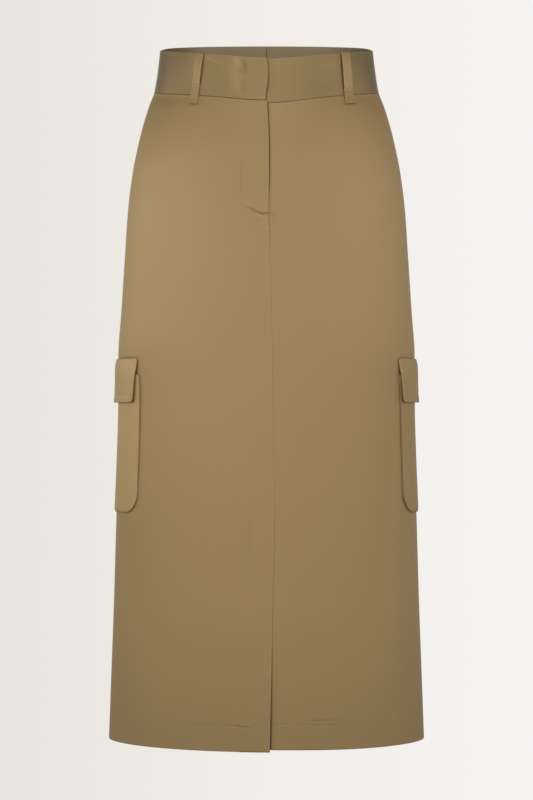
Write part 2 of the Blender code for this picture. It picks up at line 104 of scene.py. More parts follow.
# The band's columns: closest together to BAND_FINE, and by this spacing to BAND_NEAR_FRONT;
# past it they are evenly apart, and their last share is the round end's
BAND_FINE, BAND_NEAR_FRONT, BAND_SPACED, BAND_END_SHARE = *mm(85, 110, 320), 0.005
# How far the band's right end bows past the centre line
END_WAVE_UNITS = {"level": MM, "past": MM}
END_WAVES = ((28, -0.6), (22, 0.9), (9.5, 1.8), (-7, 0.8), (-17.5, -1.3), (-28, -1.5))
END_WAVE_WIDTH = 30 * MM

FLY_BOTTOM, VENT_TOP, LAP_FADE = mm(-190.9, -573.8, 30)
# How far the vent's edge has come off the seam line: pressed nearly shut at its top
VENT_UNITS = {"level": MM, "open": 1}
VENT_OPENS = (
    (40, 0.0), (-572, 0.0), (-580, 0.22), (-600, 0.15), (-705, 0.17), (-722, 0.28),
    (-740, 0.54), (-765, 0.77), (-790, 0.93), (-825, 0.9), (-843, 1.0), (-868, 1.0),
)
EDGE_LIFT, LIFT_WIDTH, SINK_WIDTH, UNDER = mm(0.7, 22, 14, 1.55)
WAIST_LIFT_SHARE, WAIST_LIFT_FADE = 0.85, 24 * MM
FLY_LAP, SEAM_LAP, VENT_LAP, ALLOWANCE, SEAM_GAP = mm(6, 8, 38, 10, 0.3)
FACING_FROM, FACING_TO, FACING_TOP, FACING_CURVE = mm(7.5, 33, -34, 26)
FACING_OUT, FACING_WALL, FACING_SHORT, FACING_LEAST = *mm(-1.8, 0.8, 0.1), 0.006
ZIP_TOP, ZIP_CHAIN_TOP, ZIP_BOTTOM, ZIP_HALF, ZIP_OUT, TAPE_WALL = mm(-37, -56, -186, 12, -3, 0.7)
COIL_PITCH, COIL_WIRE, COIL_WIDE, COIL_DEEP, COIL_INNER = mm(1.3, 0.32, 1.5, 0.55, 0.5)
COIL_FROM_TOP, COIL_FROM_END, COIL_STEPS, WIRE_STEPS = *mm(2, 1), 8, 5

HEM, TURN_UP, HEM_SINK, HEM_SINK_FADE = mm(-866.7, 32.5, 2, 55)
# The hem line's waves along the cloth: height and length in millimetres, and start
HEM_WANDERS, HEM_DEEPENS = ((0.5, 41, 0), (0.3, 17, 0)), (0.03, 29, 1.0)
HEM_TROUGH, HEM_TROUGH_WIDTH = mm(0.03, 1.5)
# Blind hem stitches pull a short dimple in the cloth, one each this far along, not quite even
STITCH_APART, STITCH_DEPTH, STITCH_HALF, STITCH_HIGH, STITCH_WAVE = mm(31, 0.11, 3.4, 1.1, 57)
STITCH_UNEVEN = 0.22

WAIST_ROUND, WAIST_DROP, WAIST_TOP = 0.45 * MM, 0.45 * MM, WAIST_SEAM + 0.15 * MM
# Where panels have closer rows: at the waist, the flap's seam, the turn-up and the hem, and on
# the fronts at the foot of the fly and the top of the vent
PANEL_FINE = (
    (WAIST_SEAM - 4 * MM, WAIST_SEAM), mm(-376, -371), mm(-841, -828), (HEM, HEM + 2 * MM),
)
FRONT_FINE = (*PANEL_FINE, mm(-213, -176), mm(-576, -570))
SIDE_COLUMN, FINE_COLUMNS, LEAST_COLUMN = mm(60, 37, 1.3)
SEAM_RADIUS, SEAM_DIVE, SEAM_OVER = mm(0.25, 0.45, 0.3)
# Side and back seams are drawn tight: the two folds press into each other this far
SEAM_PRESSED = 0.05 * MM
GAP_DEPTH, GAP_WIDTH, GAP_CLOSES, GAP_FADE = mm(0.8, 1.0, -138, 52)
GAP_SHADE, GAP_AT_HEM = 2.4, 0.7
DIVE_COLUMNS = mm(1.1, 0.7, 0.45, 0.3, 0.15, 0)
# How far the painted highlight along a pressed edge reaches
PRESS_WIDTH = 1.6 * MM

POCKET_MOUTH, POCKET_BOTTOM, POCKET_HALF, POCKET_CORNER = mm(-396.1, -572.9, 71.5, 26)
POCKET_SHIFTS = {RIGHT: 6 * MM, LEFT: 10 * MM}
FACE_INSET, FACE_WALL, FACE_ROUND, UNDER_FACE = mm(0.6, 1.0, 9, 0.1)
FACE_OUT_MOUTH, FACE_OUT_BOTTOM, FACE_OUT_LEAST = mm(1.9, 2.8, 1.3)
FACE_OUT_EDGE = {RIGHT: 2.0 * MM, LEFT: 2.6 * MM}
# How far forward the left pocket's mouth gapes, and how far down
MOUTH_FLARE, MOUTH_FLARE_DOWN = {RIGHT: 0.0, LEFT: 4.4 * MM}, 30 * MM
# The gusset's run from the panel up to the face: way in from the pocket's outline and, up to
# the last row, the share of the way out
GUSSET_RUN = (
    (7.0, 0.08), (4.0, 0.08), (1.3, 0.10), (0.5, 0.16), (0.05, 0.30), (0.0, 0.50), (0.35, 0.72),
    (1.0, 0.90), (1.9, 1.0), (4.0, 1.0), (7.0, 1.0),
)

FLAP_UNITS = {"level": MM, "half_width": MM, "out_middle": MM, "out_ends": MM}
FLAP_ROWS = (
    (-374.6, 71.5, 1.8, 1.7),
    (-377.5, 71.5, 2.8, 1.8),
    (-385.0, 71.3, 4.4, 2.3),
    (-397.0, 70.8, 5.1, 4.5),
    (-413.0, 70.1, 6.2, 5.4),
    (-431.2, 69.5, 7.4, 6.2),
)
FLAP_SHIFT, FLAP_WALL, FLAP_CORNER_TOP, FLAP_CORNER_END = mm(3, 1.6, 4.5, 3.5)
FLAP_WELT, FLAP_WELT_WIDTH, FLAP_WELT_EDGE = mm(0.35, 6, 1.5)
FLAP_CURL, FLAP_CURL_WIDTH, FLAP_CURL_IN, FLAP_CURL_SHADE = *mm(1.0, 5, 6.2), 0.45
# The flap's seam draws the panels in just above the flap
FLAP_SEAM_LEVEL, FLAP_SEAM_DEPTH, FLAP_SEAM_WIDTH, FLAP_SEAM_FADE = mm(-374, 0.6, 0.8, 3)
FLAP_SEAM_SHORT = 2 * MM
# Painted highlight: how much lighter the right pocket and flap are painted, as a height of fold
# in millimetres
POCKET_SHEEN = {RIGHT: 0.75, LEFT: 0.0}
FLAP_SHEEN = {RIGHT: 0.5, LEFT: 0.0}

# The last of these makes the loops' colour a little darker, as a height of fold in millimetres
LOOP_END, LOOP_WALL, LOOP_BELOW_TOP, LOOP_TACK, LOOP_SHEEN = *mm(12.2, 1.0, 0.7), 35, -0.12
LOOP_COLUMNS = (
    "node", "side", "seam", "top", "end", "width_top", "width_end", "tack_at", "turns_over",
)
LOOPS = (
    ("belt_loop_front_right", RIGHT, "front", 87.7, 96.6, 10.9, 11.3, 37, True),
    ("belt_loop_front_left", LEFT, "front", 106.3, 112.3, 13.0, 14.8, 28.5, True),
    ("belt_loop_side_right", RIGHT, "front", 262, 276, 11.0, 11.0, 34, False),
    ("belt_loop_side_left", LEFT, "front", 262, 276, 11.0, 11.0, 36, False),
    ("belt_loop_back", LEFT, "back", 0, 0, 11.0, 11.0, LOOP_TACK, False),
)
# The loop's arch: share of the way up in percent, and way out, with the tack at LOOP_TACK; and
# its turn over the band's top: way up past it, and way out
LOOP_PROFILE = (
    (0, 1.7), (2, 2.0), (4, 1.8), (17, 2.0), (29, 1.8), (33, 1.5), (35, 1.6), (38, 2.6),
    (45, 2.8), (58, 3.0), (74, 3.1), (88, 2.7), (96, 2.1),
)
LOOP_TURN = ((-0.3, 1.6), (0.4, 0.7), (0.6, -0.4), (0.5, -2.2))

# Metal plates, in millimetres: way out and way up of the middle, half width, half height and
# thickness; then the outline's squareness, 2 for an oval, and its widening towards the top
PLATE_COLUMNS = ("out", "up", "wide", "high", "thick", "square", "taper")
SLIDER_PLATES = (
    (1.0, 0.0, 3.1, 4.2, 0.6, 4, 0.25),
    (-1.0, 0.0, 3.1, 4.2, 0.6, 4, 0.25),
    (0.0, 2.6, 1.2, 1.2, 1.6, 2, 0.0),
    (-1.55, 0.4, 1.4, 2.6, 0.5, 2, 0.0),
    (-1.75, -3.4, 2.1, 3.4, 0.5, 2, 0.0),
)
HOOK_PLATES = ((0.0, 0.0, 4.6, 3.7, 0.8, 6, 0.0),)
SLIDER_LEVEL, SLIDER_BEHIND, HOOK_FROM_CENTRE, HOOK_LEVEL, HOOK_OUT = mm(-46, 1.9, 40, 10, -1.05)

# Soft troughs and ridges of each sheet, in millimetres: the width of the bell, its height at
# the first and at the last point, and its points. Across is the way from centre front on the
# fronts and the band, and from centre back on the backs.
CREASES = {
    "band_right": (
        (1.8, -0.25, -0.9, ((37, 23.5), (32.5, 23), (29.6, 20.5))),
        (2, -0.9, -0.6, ((28.3, 17.2), (27.6, 13.5), (28.4, 7))),
        (7.5, 0.55, 0.4, ((44, 21), (42, 6), (40, -12))),
        (0.9, 0.3, 0.45, ((24, -25.8), (12, -25.6), (2.5, -25.6))),
        (1.5, -0.15, -0.5, ((30.4, -7), (31.6, -16.5))),
        (1.8, 0.45, 0.35, ((78.7, 23.2), (68.9, 19.2), (59.2, 15.4))),
        (1.6, -0.3, -0.25, ((77.4, 21), (68.2, 17), (60, 13.6))),
        (2.2, -0.2, -0.1, ((79.8, 17), (70, 15.5))),
    ),
    "band_left": (
        (2, -0.25, -0.1, ((84, -12), (70, -16))),
        (2.4, 0.25, 0.15, ((96, 10), (86, 14), (72, 15))),
    ),
    "band_back_right": (
        (2, -0.35, -0.15, ((62, 18), (48, 15))),
    ),
    "band_back_left": (
        (2, -0.3, -0.15, ((70, -8), (52, -12))),
    ),
    "front_right": (
        (1.3, -0.2, -0.28, ((34.5, -112), (34.6, -140), (34.9, -160))),
        (1.3, -0.25, -0.3, ((27.5, -161.5), (25.5, -162.6))),
        (1.5, -0.15, -0.35, ((33, -180), (26.7, -182.4), (20.5, -185.3))),
        (1.5, -0.45, -1.25, ((20.5, -185.3), (14.2, -190.2), (6.8, -192.9), (0, -192.6))),
        (1.2, 0.35, 0.7, ((16.5, -192.6), (12.5, -195), (8.1, -196.6))),
        (1.6, -0.22, -0.15, ((16.5, -199.6), (11, -201))),
        (1.6, 0.15, 0.3, ((1.5, -207), (1.2, -213))),
        (1.6, -0.1, -0.06, ((42, -572.6), (19.5, -572.6))),
        (3.2, -0.16, -0.05, ((32, -582), (31.4, -625), (31, -668))),
        (1, -0.28, -0.2, ((43, -834.8), (36, -835.7), (28, -836.1))),
        (1, 0.16, 0.12, ((43, -832.8), (35, -833.6), (28, -834))),
    ),
    "front_left": (
        (1.5, -0.35, -0.1, ((0.5, -191), (5, -191.5), (9, -190))),
        (1.6, -0.3, -0.18, ((1, -215), (0.8, -229))),
        (1.3, 0.35, 0.2, ((1.4, -208), (1.4, -213))),
        (1.2, -0.16, -0.12, ((15.5, -834.2), (21, -834))),
        (1.2, 0.34, 0.26, ((15, -836.6), (23, -836.2))),
        (1.2, 0.2, 0.16, ((29.4, -831.5), (29.6, -838.5))),
        (1.4, -0.26, -0.12, ((52, -830.2), (70, -829.8), (92, -829.4))),
        (1.6, 0.16, 0.08, ((54, -833), (90, -832.4))),
    ),
    "back_right": (
        (2.2, -0.3, -0.12, ((3, -96), (9, -118))),
        (1.4, -0.3, -0.2, ((40, -833.2), (62, -834.4))),
    ),
    "back_left": (
        (2.2, -0.28, -0.1, ((3, -104), (10, -127))),
        (1.4, -0.3, -0.2, ((80, -834.6), (104, -833.5))),
    ),
}

# -------- the skirt's surface


def read_rows(units, rows):
    """A table's columns by name, in metres where they are lengths, from the lowest row up."""
    columns = np.array(rows[::-1], float).T
    return {name: column * unit for (name, unit), column in zip(units.items(), columns)}


RINGS, FLAP = read_rows(SECTION_UNITS, SECTIONS), read_rows(FLAP_UNITS, FLAP_ROWS)
VENT, END_WAVE = read_rows(VENT_UNITS, VENT_OPENS), read_rows(END_WAVE_UNITS, END_WAVES)


def read(table, name, at):
    """One column of a table at other levels: a monotone cubic curve through its values."""
    places, values = table["level"], table[name]
    width = np.diff(places)
    slope = np.diff(values) / width
    turns = slope[:-1] * slope[1:] > 0
    both = np.where(turns, slope[:-1] + slope[1:], 1.0)
    inner = np.where(turns, 2 * slope[:-1] * slope[1:] / both, 0.0)
    tangent = np.concatenate([slope[:1], inner, slope[-1:]])
    cell = np.clip(np.searchsorted(places, at) - 1, 0, len(width) - 1)
    t = (at - places[cell]) / width[cell]
    rise = tangent[cell] * t * (1 - t) ** 2 - tangent[cell + 1] * t * t * (1 - t)
    step = t * t * (3 - 2 * t)
    return values[cell] * (1 - step) + values[cell + 1] * step + width[cell] * rise


def fade(t):
    """1 at 0 and before, 0 at 1 and after, smooth between."""
    t = np.clip(t, 0, 1)
    return 1 - t * t * (3 - 2 * t)


def bell(distance, width):
    """1 at no distance, falling off as e to minus the square of distance over width."""
    return np.exp(-((distance / width) ** 2))


def skin(side, turn, level):
    """Points of the outer face: a rounded oval ring, tilted, and dipped at centre front.

    Turn runs from centre front, 0, by the side, to centre back. The oval's radius is the sum
    of |sine / half width| and |cosine / depth|, each to the ring's roundness, to minus one
    over that roundness.
    """
    ahead, across = np.cos(turn), np.sin(turn)
    front, back = read(RINGS, "front_depth", level), read(RINGS, "back_depth", level)
    power = read(RINGS, "roundness", level)
    wide = np.abs(across / read(RINGS, "half_width", level)) ** power
    deep = np.abs(ahead / np.where(ahead > 0, front, back)) ** power
    radius = (wide + deep) ** (-1 / power)
    x, y = side * radius * across, -radius * ahead
    dip = read(RINGS, "dip", level) * bell(x, DIP_WIDTH) * np.clip(ahead, 0, 1)
    return np.stack([x, y, level + read(RINGS, "tilt", level) * y - dip], axis=-1)


# Lengths along the rings, measured once: a row for each level, a column for each turn
TABLE_STEP = 2 * MM
TABLE_LEVELS = np.arange(-872 * MM, 34 * MM, TABLE_STEP)
TABLE_TURNS = np.linspace(-0.75, np.pi + 0.2, 700)
ROW_APART = 2.0


def at_turn(table, turn):
    """A table's values at one turn, at every level, between its two nearest columns."""
    at = (turn - TABLE_TURNS[0]) / (TABLE_TURNS[1] - TABLE_TURNS[0])
    return table[:, int(at)] * (1 - at % 1) + table[:, int(at) + 1] * (at % 1)


def ring_reaches():
    """The reach of each turn on each ring: summed steps, less the sum at the side seam."""
    points = skin(LEFT, TABLE_TURNS[None, :], TABLE_LEVELS[:, None])
    steps = np.linalg.norm(np.diff(points, axis=1), axis=2)
    length = np.concatenate([np.zeros((len(points), 1)), np.cumsum(steps, axis=1)], axis=1)
    return at_turn(length, np.pi / 2)[:, None] - length


RING_REACHES = ring_reaches()
ROW_KEYS = (np.arange(len(TABLE_LEVELS))[:, None] * ROW_APART - RING_REACHES).ravel()
ROW_TURNS = np.tile(TABLE_TURNS, len(TABLE_LEVELS))
FRONT_REACH, BACK_REACH = at_turn(RING_REACHES, 0.0), at_turn(RING_REACHES, np.pi)


def turn_of(reach, level):
    """The turn at which a reach ends: read off the two nearest rings, then between them."""
    row = np.clip((level - TABLE_LEVELS[0]) / TABLE_STEP, 0, len(TABLE_LEVELS) - 1.001)
    below = np.floor(row).astype(int)
    share = row - below
    low = np.interp(below * ROW_APART - reach, ROW_KEYS, ROW_TURNS)
    high = np.interp((below + 1) * ROW_APART - reach, ROW_KEYS, ROW_TURNS)
    return low * (1 - share) + high * share


def centre_front(side, level):
    """Reach of the front seam on one side of the skirt, or of its middle with side 0."""
    shift = read(RINGS, "centre_shift", level)
    return np.interp(level, TABLE_LEVELS, FRONT_REACH) - side * shift


def centre_back(level):
    """Reach of the centre back seam."""
    return np.interp(level, TABLE_LEVELS, BACK_REACH)


def place(side, reach, level, out):
    """World points: the skin there, moved out along its normal."""
    reach, level, out = np.broadcast_arrays(reach, level, out)
    turn = turn_of(reach, level)
    if side == LEFT:
        away = np.maximum(centre_front(LEFT, level) - reach, 0)
        level = level - read(RINGS, "left_drop", level) * bell(away, DROP_WIDTH)
    nudge = 1e-4
    around = skin(side, turn + nudge, level) - skin(side, turn - nudge, level)
    upward = skin(side, turn, level + nudge) - skin(side, turn, level - nudge)
    normal = side * np.cross(around, upward)
    normal /= np.linalg.norm(normal, axis=-1, keepdims=True)
    return skin(side, turn, level) + normal * out[..., None]


def vent_open(level):
    """Share of the full lap at the vent: pressed nearly shut at its top, open lower down."""
    return read(VENT, "open", level)


def vent_cut(level):
    """1 where the vent's laps are cut on, 0 above them."""
    return fade((level - VENT_TOP) / LAP_FADE)


def at_fly(level):
    """1 where the fly laps, 0 below it."""
    return fade((FLY_BOTTOM - level) / LAP_FADE)


def lap(level):
    """1 where the right front laps over the left, at the fly and at the vent; 0 on the seam."""
    return np.maximum(at_fly(level), vent_open(level))


def lap_width(level, fly, seam, vent, at_vent=vent_open):
    """A width that is one thing at the fly, another on the seam and a third at the vent."""
    return seam + (fly - seam) * at_fly(level) + (vent - seam) * at_vent(level)


def band_lift(from_centre):
    """How far the right end of the waistband stands proud."""
    return BAND_LIFT * fade((from_centre - BAND_LAP) / (BAND_LIFT_END - BAND_LAP))


def front_lift(from_centre, level):
    """How far the right front's edge stands proud: a little more under the band's own lift."""
    low = EDGE_LIFT * lap(level) * fade(from_centre / LIFT_WIDTH)
    at_waist = WAIST_LIFT_SHARE * fade((WAIST_SEAM - level) / WAIST_LIFT_FADE)
    return low + (band_lift(from_centre) - low) * at_waist


def band_bulge(from_centre, level):
    """The bump over the hook: a smooth hill, steeper on its front side."""
    off = from_centre - BULGE_FROM_CENTRE
    wide = np.where(off > 0, BULGE_REACH_SIDE, BULGE_REACH_FRONT)
    return BULGE_HEIGHT * fade(np.hypot(off / wide, (level - BULGE_LEVEL) / BULGE_REACH_SIDE))


def creases(sheet, across, level):
    """Sum of a sheet's creases: each a bell over the distance to its line of points.

    The bell's height runs from the first to the last listed along the line, and it is scaled
    by the crease depth set in the sidebar.
    """
    total = np.zeros(np.broadcast(across, level).shape)
    for width, first, last, line in CREASES[sheet]:
        points = np.array(line, float) * MM
        steps = np.diff(points, axis=0)
        lengths = np.linalg.norm(steps, axis=1)
        before = np.concatenate([[0], np.cumsum(lengths)])
        nearest, along = np.full(total.shape, np.inf), np.zeros(total.shape)
        for start, step, length, passed in zip(points, steps, lengths, before):
            off_across, off_level = across - start[0], level - start[1]
            t = np.clip((off_across * step[0] + off_level * step[1]) / length**2, 0, 1)
            away = np.hypot(off_across - t * step[0], off_level - t * step[1])
            along = np.where(away < nearest, (passed + t * length) / before[-1], along)
            nearest = np.minimum(away, nearest)
        total += (first + (last - first) * along) * MM * bell(nearest, width * MM)
    return total * sizes().crease_depth


def hem_line(along, level):
    """The turn-up seen through the cloth: an uneven trough, with blind stitches pulled in.

    The trough's height and depth wander with sines of the way along. A stitch is a short
    narrow dimple at each step along.
    """
    def wave(height, length, start):
        return height * MM * np.sin(along / (length * MM) + start)

    off = level - (HEM + TURN_UP + wave(*HEM_WANDERS[0]) + wave(*HEM_WANDERS[1]))
    trough = -(HEM_TROUGH + wave(*HEM_DEEPENS)) * bell(off, HEM_TROUGH_WIDTH)
    wander = along / STITCH_APART + STITCH_UNEVEN * np.sin(along / STITCH_WAVE)
    beside = (wander - np.round(wander)) * STITCH_APART
    stitch = bell(beside, STITCH_HALF) * bell(off, STITCH_HIGH)
    return (trough - STITCH_DEPTH * stitch) * sizes().crease_depth


def flap_seam(side, reach, level):
    """The trough along the flap's seam, as long as the flap is wide."""
    beyond = np.abs(reach + side * FLAP_SHIFT) - FLAP["half_width"][-1] + FLAP_SEAM_SHORT
    trough = bell(level - FLAP_SEAM_LEVEL, FLAP_SEAM_WIDTH) * fade(beyond / FLAP_SEAM_FADE)
    return -FLAP_SEAM_DEPTH * trough * sizes().crease_depth


# -------- grids and meshes

SPACED_SAMPLES, SPACED_GROWTH = 4000, 0.25
# The places that round an edge, and the edge's share of a row of shares from -1 to 1
EDGE_PLACES, EDGE_SHARE = 5, 0.012


def spaced(start, stop, coarse, fine=1.0, near=()):
    """Places from start to stop, coarse apart, and fine apart in and beside the spans near.

    The way over the local step is summed up and read back at whole numbers.
    """
    at = np.linspace(start, stop, SPACED_SAMPLES)
    step = np.full(at.shape, float(coarse))
    for low, high in near:
        away = np.maximum(np.maximum(low - at, at - high), 0)
        step = np.minimum(step, fine + away * SPACED_GROWTH)
    count = np.cumsum(np.abs(stop - start) / (len(at) - 1) / step)
    count -= count[0]
    return np.interp(np.linspace(0, count[-1], int(np.ceil(count[-1])) + 1), count, at)


def turned_edge(radius, steps=6):
    """An edge folded under: half a circle, as way past its centre and way off the surface."""
    angle = np.linspace(0, np.pi, steps + 1)[1:]
    return radius * np.sin(angle), -radius * (1 - np.cos(angle))


def turned_seam(radius):
    """An edge folded under with its allowance flat behind it, in the same two measures."""
    along, off = turned_edge(radius)
    inside = -np.linspace(0, ALLOWANCE, 5)[1:]
    return (np.concatenate([along, inside]),
            np.concatenate([off, np.full(len(inside), -2 * radius)]))


def rounded(distance, radius):
    """Share of the full wall at a distance from a round edge: a quarter circle, then 1."""
    t = np.clip(distance / radius, 0, 1)
    return np.sqrt(1 - (1 - t) ** 2)


def edge_places(start, stop, radius, inner):
    """Places from start to stop that close in on both ends as a quarter circle needs.

    Between the ends are the inner places, or as many evenly apart as that number.
    """
    curve = radius * (1 - np.cos(np.linspace(0, np.pi / 2, EDGE_PLACES)))
    sign = np.sign(stop - start)
    inner = np.linspace(start, stop, inner) if isinstance(inner, int) else inner
    inside = inner[np.minimum(np.abs(inner - start), np.abs(inner - stop)) > radius]
    return np.concatenate([start + sign * curve, inside, (stop - sign * curve)[::-1]])


def least(*distances):
    """The least of several distances, at each point."""
    return reduce(np.minimum, distances)


def number_grid(rows, columns, closed=False):
    """The number of each point of a grid; a closed grid has its first column again at last."""
    index = np.arange(rows * columns).reshape(rows, columns)
    return np.concatenate([index, index[:, :1]], axis=1) if closed else index


def cells(index):
    """The four corners of every cell of a grid of point numbers."""
    corners = (index[:-1, :-1], index[1:, :-1], index[1:, 1:], index[:-1, 1:])
    return np.stack(corners, axis=-1).reshape(-1, 4)


def facing(points, quads, outward):
    """Quads turned, if need be, so that on the whole they face along outward."""
    a, b, c = points[quads[:, 0]], points[quads[:, 1]], points[quads[:, 2]]
    agree = np.einsum("ij,ij->", np.cross(b - a, c - b), outward[quads[:, 0]])
    return quads if agree > 0 else quads[:, ::-1]


def put_mesh(name, finish, points, quads, uv, **marks):
    """An object at the origin from whole arrays, with its cloth UV in metres and its marks.

    The marks are 0 where they aren't given. The edge mark is a painted highlight: 1 on an
    ironed edge and falling off beside it, where the colour is painted lighter. Fold is painted
    shade and painted highlight: the height of the creases there, in millimetres, so that
    troughs and gaps are painted darker and ridges lighter; some whole pieces carry it too.
    Reverse is 1 on the inner face of a piece, where the satin shows its dull back.
    """
    mesh = bpy.data.meshes.new(name)
    mesh.vertices.add(len(points))
    mesh.vertices.foreach_set("co", points.astype(np.float32).ravel())
    mesh.loops.add(quads.size)
    mesh.loops.foreach_set("vertex_index", quads.astype(np.int32).ravel())
    mesh.polygons.add(len(quads))
    mesh.polygons.foreach_set("loop_start", np.arange(0, quads.size, 4, dtype=np.int32))
    mesh.update(calc_edges=True)
    mesh.shade_smooth()
    layer = mesh.uv_layers.new(name="cloth")
    layer.data.foreach_set("uv", uv[quads.ravel()].astype(np.float32).ravel())
    for label in ("press", "fold", "reverse"):
        values = marks.get(label, np.zeros(len(points)))
        layer = mesh.attributes.new(label, "FLOAT", "POINT")
        layer.data.foreach_set("value", values.astype(np.float32))
    mesh.materials.append(finish_named(finish))
    piece = bpy.data.objects.new(name, mesh)
    bpy.context.scene.collection.objects.link(piece)
    return piece


def flat_cut(points):
    """Width, length and area of a grid laid flat: its longest row, longest column and cells."""
    wide = np.linalg.norm(np.diff(points, axis=1), axis=2).sum(axis=1).max()
    long = np.linalg.norm(np.diff(points, axis=0), axis=2).sum(axis=0).max()
    across, along = points[:-1, 1:] - points[:-1, :-1], points[1:, :-1] - points[:-1, :-1]
    area = np.linalg.norm(np.cross(across, along), axis=2).sum()
    return (float(wide), float(long)), float(min(area, wide * long))


def settle(piece, node, slot, cut=None, held="stretched", rests_on=()):
    """Ride the body and stand for the CAD node; the cut and how it is held are not used."""
    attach(piece, "root")
    if node:
        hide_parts(node)


def thin_cloth(node, points, reach, level, outward, press, fold, **cloth):
    """A single layer of satin: a grid, given its wall inward by Solidify."""
    flat = points.reshape(-1, 3)
    quads = facing(flat, cells(number_grid(*reach.shape)), outward.reshape(-1, 3))
    uv = np.stack([reach.ravel(), level.ravel()], axis=-1)
    piece = put_mesh(f"satin_{node}", "pressed_satin", flat, quads, uv,
                     press=press.ravel(), fold=fold.ravel())
    wall = piece.modifiers.new("wall", "SOLIDIFY")
    wall.thickness = sizes().cloth_wall
    wall.offset = -1
    settle(piece, node, "satin", flat_cut(points), **cloth)


def slab(node, side, reach, level, out, wall, distance, radius=None, under=None, fold=0.0,
         name=None, finish="pressed_satin", slot="satin", **cloth):
    """A piece of more than one layer, with a wall and round edges, on the skin.

    The outer face is out and the inner face lies wall beneath it, or beneath under; towards an
    edge both close in on the middle of the wall as a quarter circle of distance over radius,
    and they share their border. The edges are pressed, and a highlight is painted along them.
    """
    reach, level, out, fold = np.broadcast_arrays(reach, level, out, fold)
    distance = np.maximum(distance, 0) + np.zeros(reach.shape)
    distance[:, 0] = distance[:, -1] = distance[0] = distance[-1] = 0
    full = rounded(distance, radius or wall / 2)
    inset = wall / 2 * (1 - full)
    outer = place(side, reach, level, out - inset)
    inner = place(side, reach, level, (out if under is None else under) - wall + inset)

    def both(first, second):
        """Values of the whole outer grid, then of the inner one inside the border."""
        grids = first, second[1:-1, 1:-1]
        return np.concatenate([grid.reshape(-1, *grid.shape[2:]) for grid in grids])

    index = number_grid(*reach.shape)
    back = index.copy()
    back[1:-1, 1:-1] = index.size + np.arange(back[1:-1, 1:-1].size).reshape(len(back) - 2, -1)
    front = facing(outer.reshape(-1, 3), cells(index), (outer - inner).reshape(-1, 3))
    behind = back.ravel()[front][:, ::-1]
    uv = np.stack([reach, level], axis=-1)
    press = np.exp(-distance / PRESS_WIDTH)
    points = both(outer, inner)
    piece = put_mesh(name or f"satin_{node}", finish, points, np.concatenate([front, behind]),
                     both(uv, uv), press=both(press, press), fold=both(fold, 0 * fold),
                     reverse=(np.arange(len(points)) >= index.size).astype(float))
    settle(piece, node, slot, flat_cut(outer), **cloth)


# -------- settings


def linear(code):
    """An sRGB hex value as linear red, green and blue."""
    share = np.array([int(code[i:i + 2], 16) / 255 for i in (1, 3, 5)])
    return tuple(np.where(share <= 0.04045, share / 12.92, ((share + 0.055) / 1.055) ** 2.4))


def length_setting(name, description, default):
    return FloatProperty(name=name, description=description, default=default,
                         min=0.0, precision=5, unit="LENGTH")


def colour_setting(name, description, code):
    return FloatVectorProperty(name=name, description=description, default=linear(code),
                               size=3, min=0.0, max=1.0, subtype="COLOR")


class SkirtSizes(bpy.types.PropertyGroup):
    """Sizes of the cloth that a user would change."""

    cloth_wall: length_setting("Cloth", "Thickness of one layer of satin", 0.45 * MM)
    fold_radius: length_setting("Fold", "Radius of a pressed fold", 0.6 * MM)
    hem_radius: length_setting("Hem fold", "Radius of the fold at the hem", 0.9 * MM)
    thread_apart: length_setting("Weave", "Spacing of the satin's floats", 0.6 * MM)
    crease_depth: FloatProperty(name="Creases", description="Depth of every crease, as a share",
                                default=1.0, min=0.0, max=3.0, subtype="FACTOR")
    floor_drop: length_setting("Floor", "How far the floor lies below the hem", 300 * MM)


class SkirtColours(bpy.types.PropertyGroup):
    """Colours of the cloth, the trims and the studio."""

    satin: colour_setting("Satin", "Khaki satin of the skirt", "#a3895b")
    # The band's satin is the skirt's satin painted darker: a painted shade
    band: colour_setting("Band satin", "The same satin over the band's interfacing", "#937c52")
    reverse: colour_setting("Reverse", "Dull back of the satin", "#968466")
    tape: colour_setting("Zip tape", "Woven tape of the zip", "#8a7650")
    coil: colour_setting("Zip coil", "Drawn nylon coil of the zip", "#7c6a48")
    brass: colour_setting("Metal", "Plated slider and hook", "#c9b98f")
    floor: colour_setting("Floor", "Matt painted floor", "#d6d3ce")
    wall_left: colour_setting("Backdrop left", "Backdrop on the left", "#e9e5df")
    wall_middle: colour_setting("Backdrop middle", "Backdrop in the middle", "#f1ede8")
    wall_right: colour_setting("Backdrop right", "Backdrop on the right", "#f6f4f2")


def sizes():
    return bpy.context.scene.skirt_sizes


# -------- materials


def shade_of(colour, light=1.0):
    """A colour of the settings, by name, with that share of its light."""
    channels = getattr(bpy.context.scene.skirt_colours, colour)
    return (*(min(1.0, channel * light) for channel in channels), 1.0)


def add_node(tree, kind, values=(), out=0):
    """A new node, of which one output is returned, by name or by number.

    Values are its settings and its inputs, by name; another node's output is linked in.
    """
    node = tree.nodes.new(f"ShaderNode{kind}")
    for name, value in dict(values).items():
        if isinstance(value, bpy.types.NodeSocket):
            tree.links.new(value, node.inputs[name])
        elif isinstance(name, str) and hasattr(node, name):
            setattr(node, name, value)
        else:
            node.inputs[name].default_value = value
    return node.outputs[out] if node.outputs else None


METALLIC, ROUGHNESS, ROUGHNESS_WANDER, FOLD_SHADE = 0.5, 0.5, 0.03, 0.32
# A wave texture of scale 1 repeats every 0.314 units
WAVE_APART, FLOAT_SLANT = 0.314, 63
# Sizes of the finishes' uneven spots, the broad ones of the satin first
SATIN_SPOTS, NAP, COIL_SPOTS, SCUFFS, ROLLED = mm(90, 3, 4, 0.9, 400)
FLOOR_LAMPS = 0.5
# Painted shade: the satin's colour falls to this share at the hem, from this level down
HEM_TONE, HEM_TONE_TOP = 0.90, -690 * MM
# Painted shade beside the side seams: full up to the first way from the seam, gone by the second,
# slanted with height
SIDE_TONE_FROM, SIDE_TONE_TO, SIDE_TONE_SLANT = *mm(25, 95), -0.9


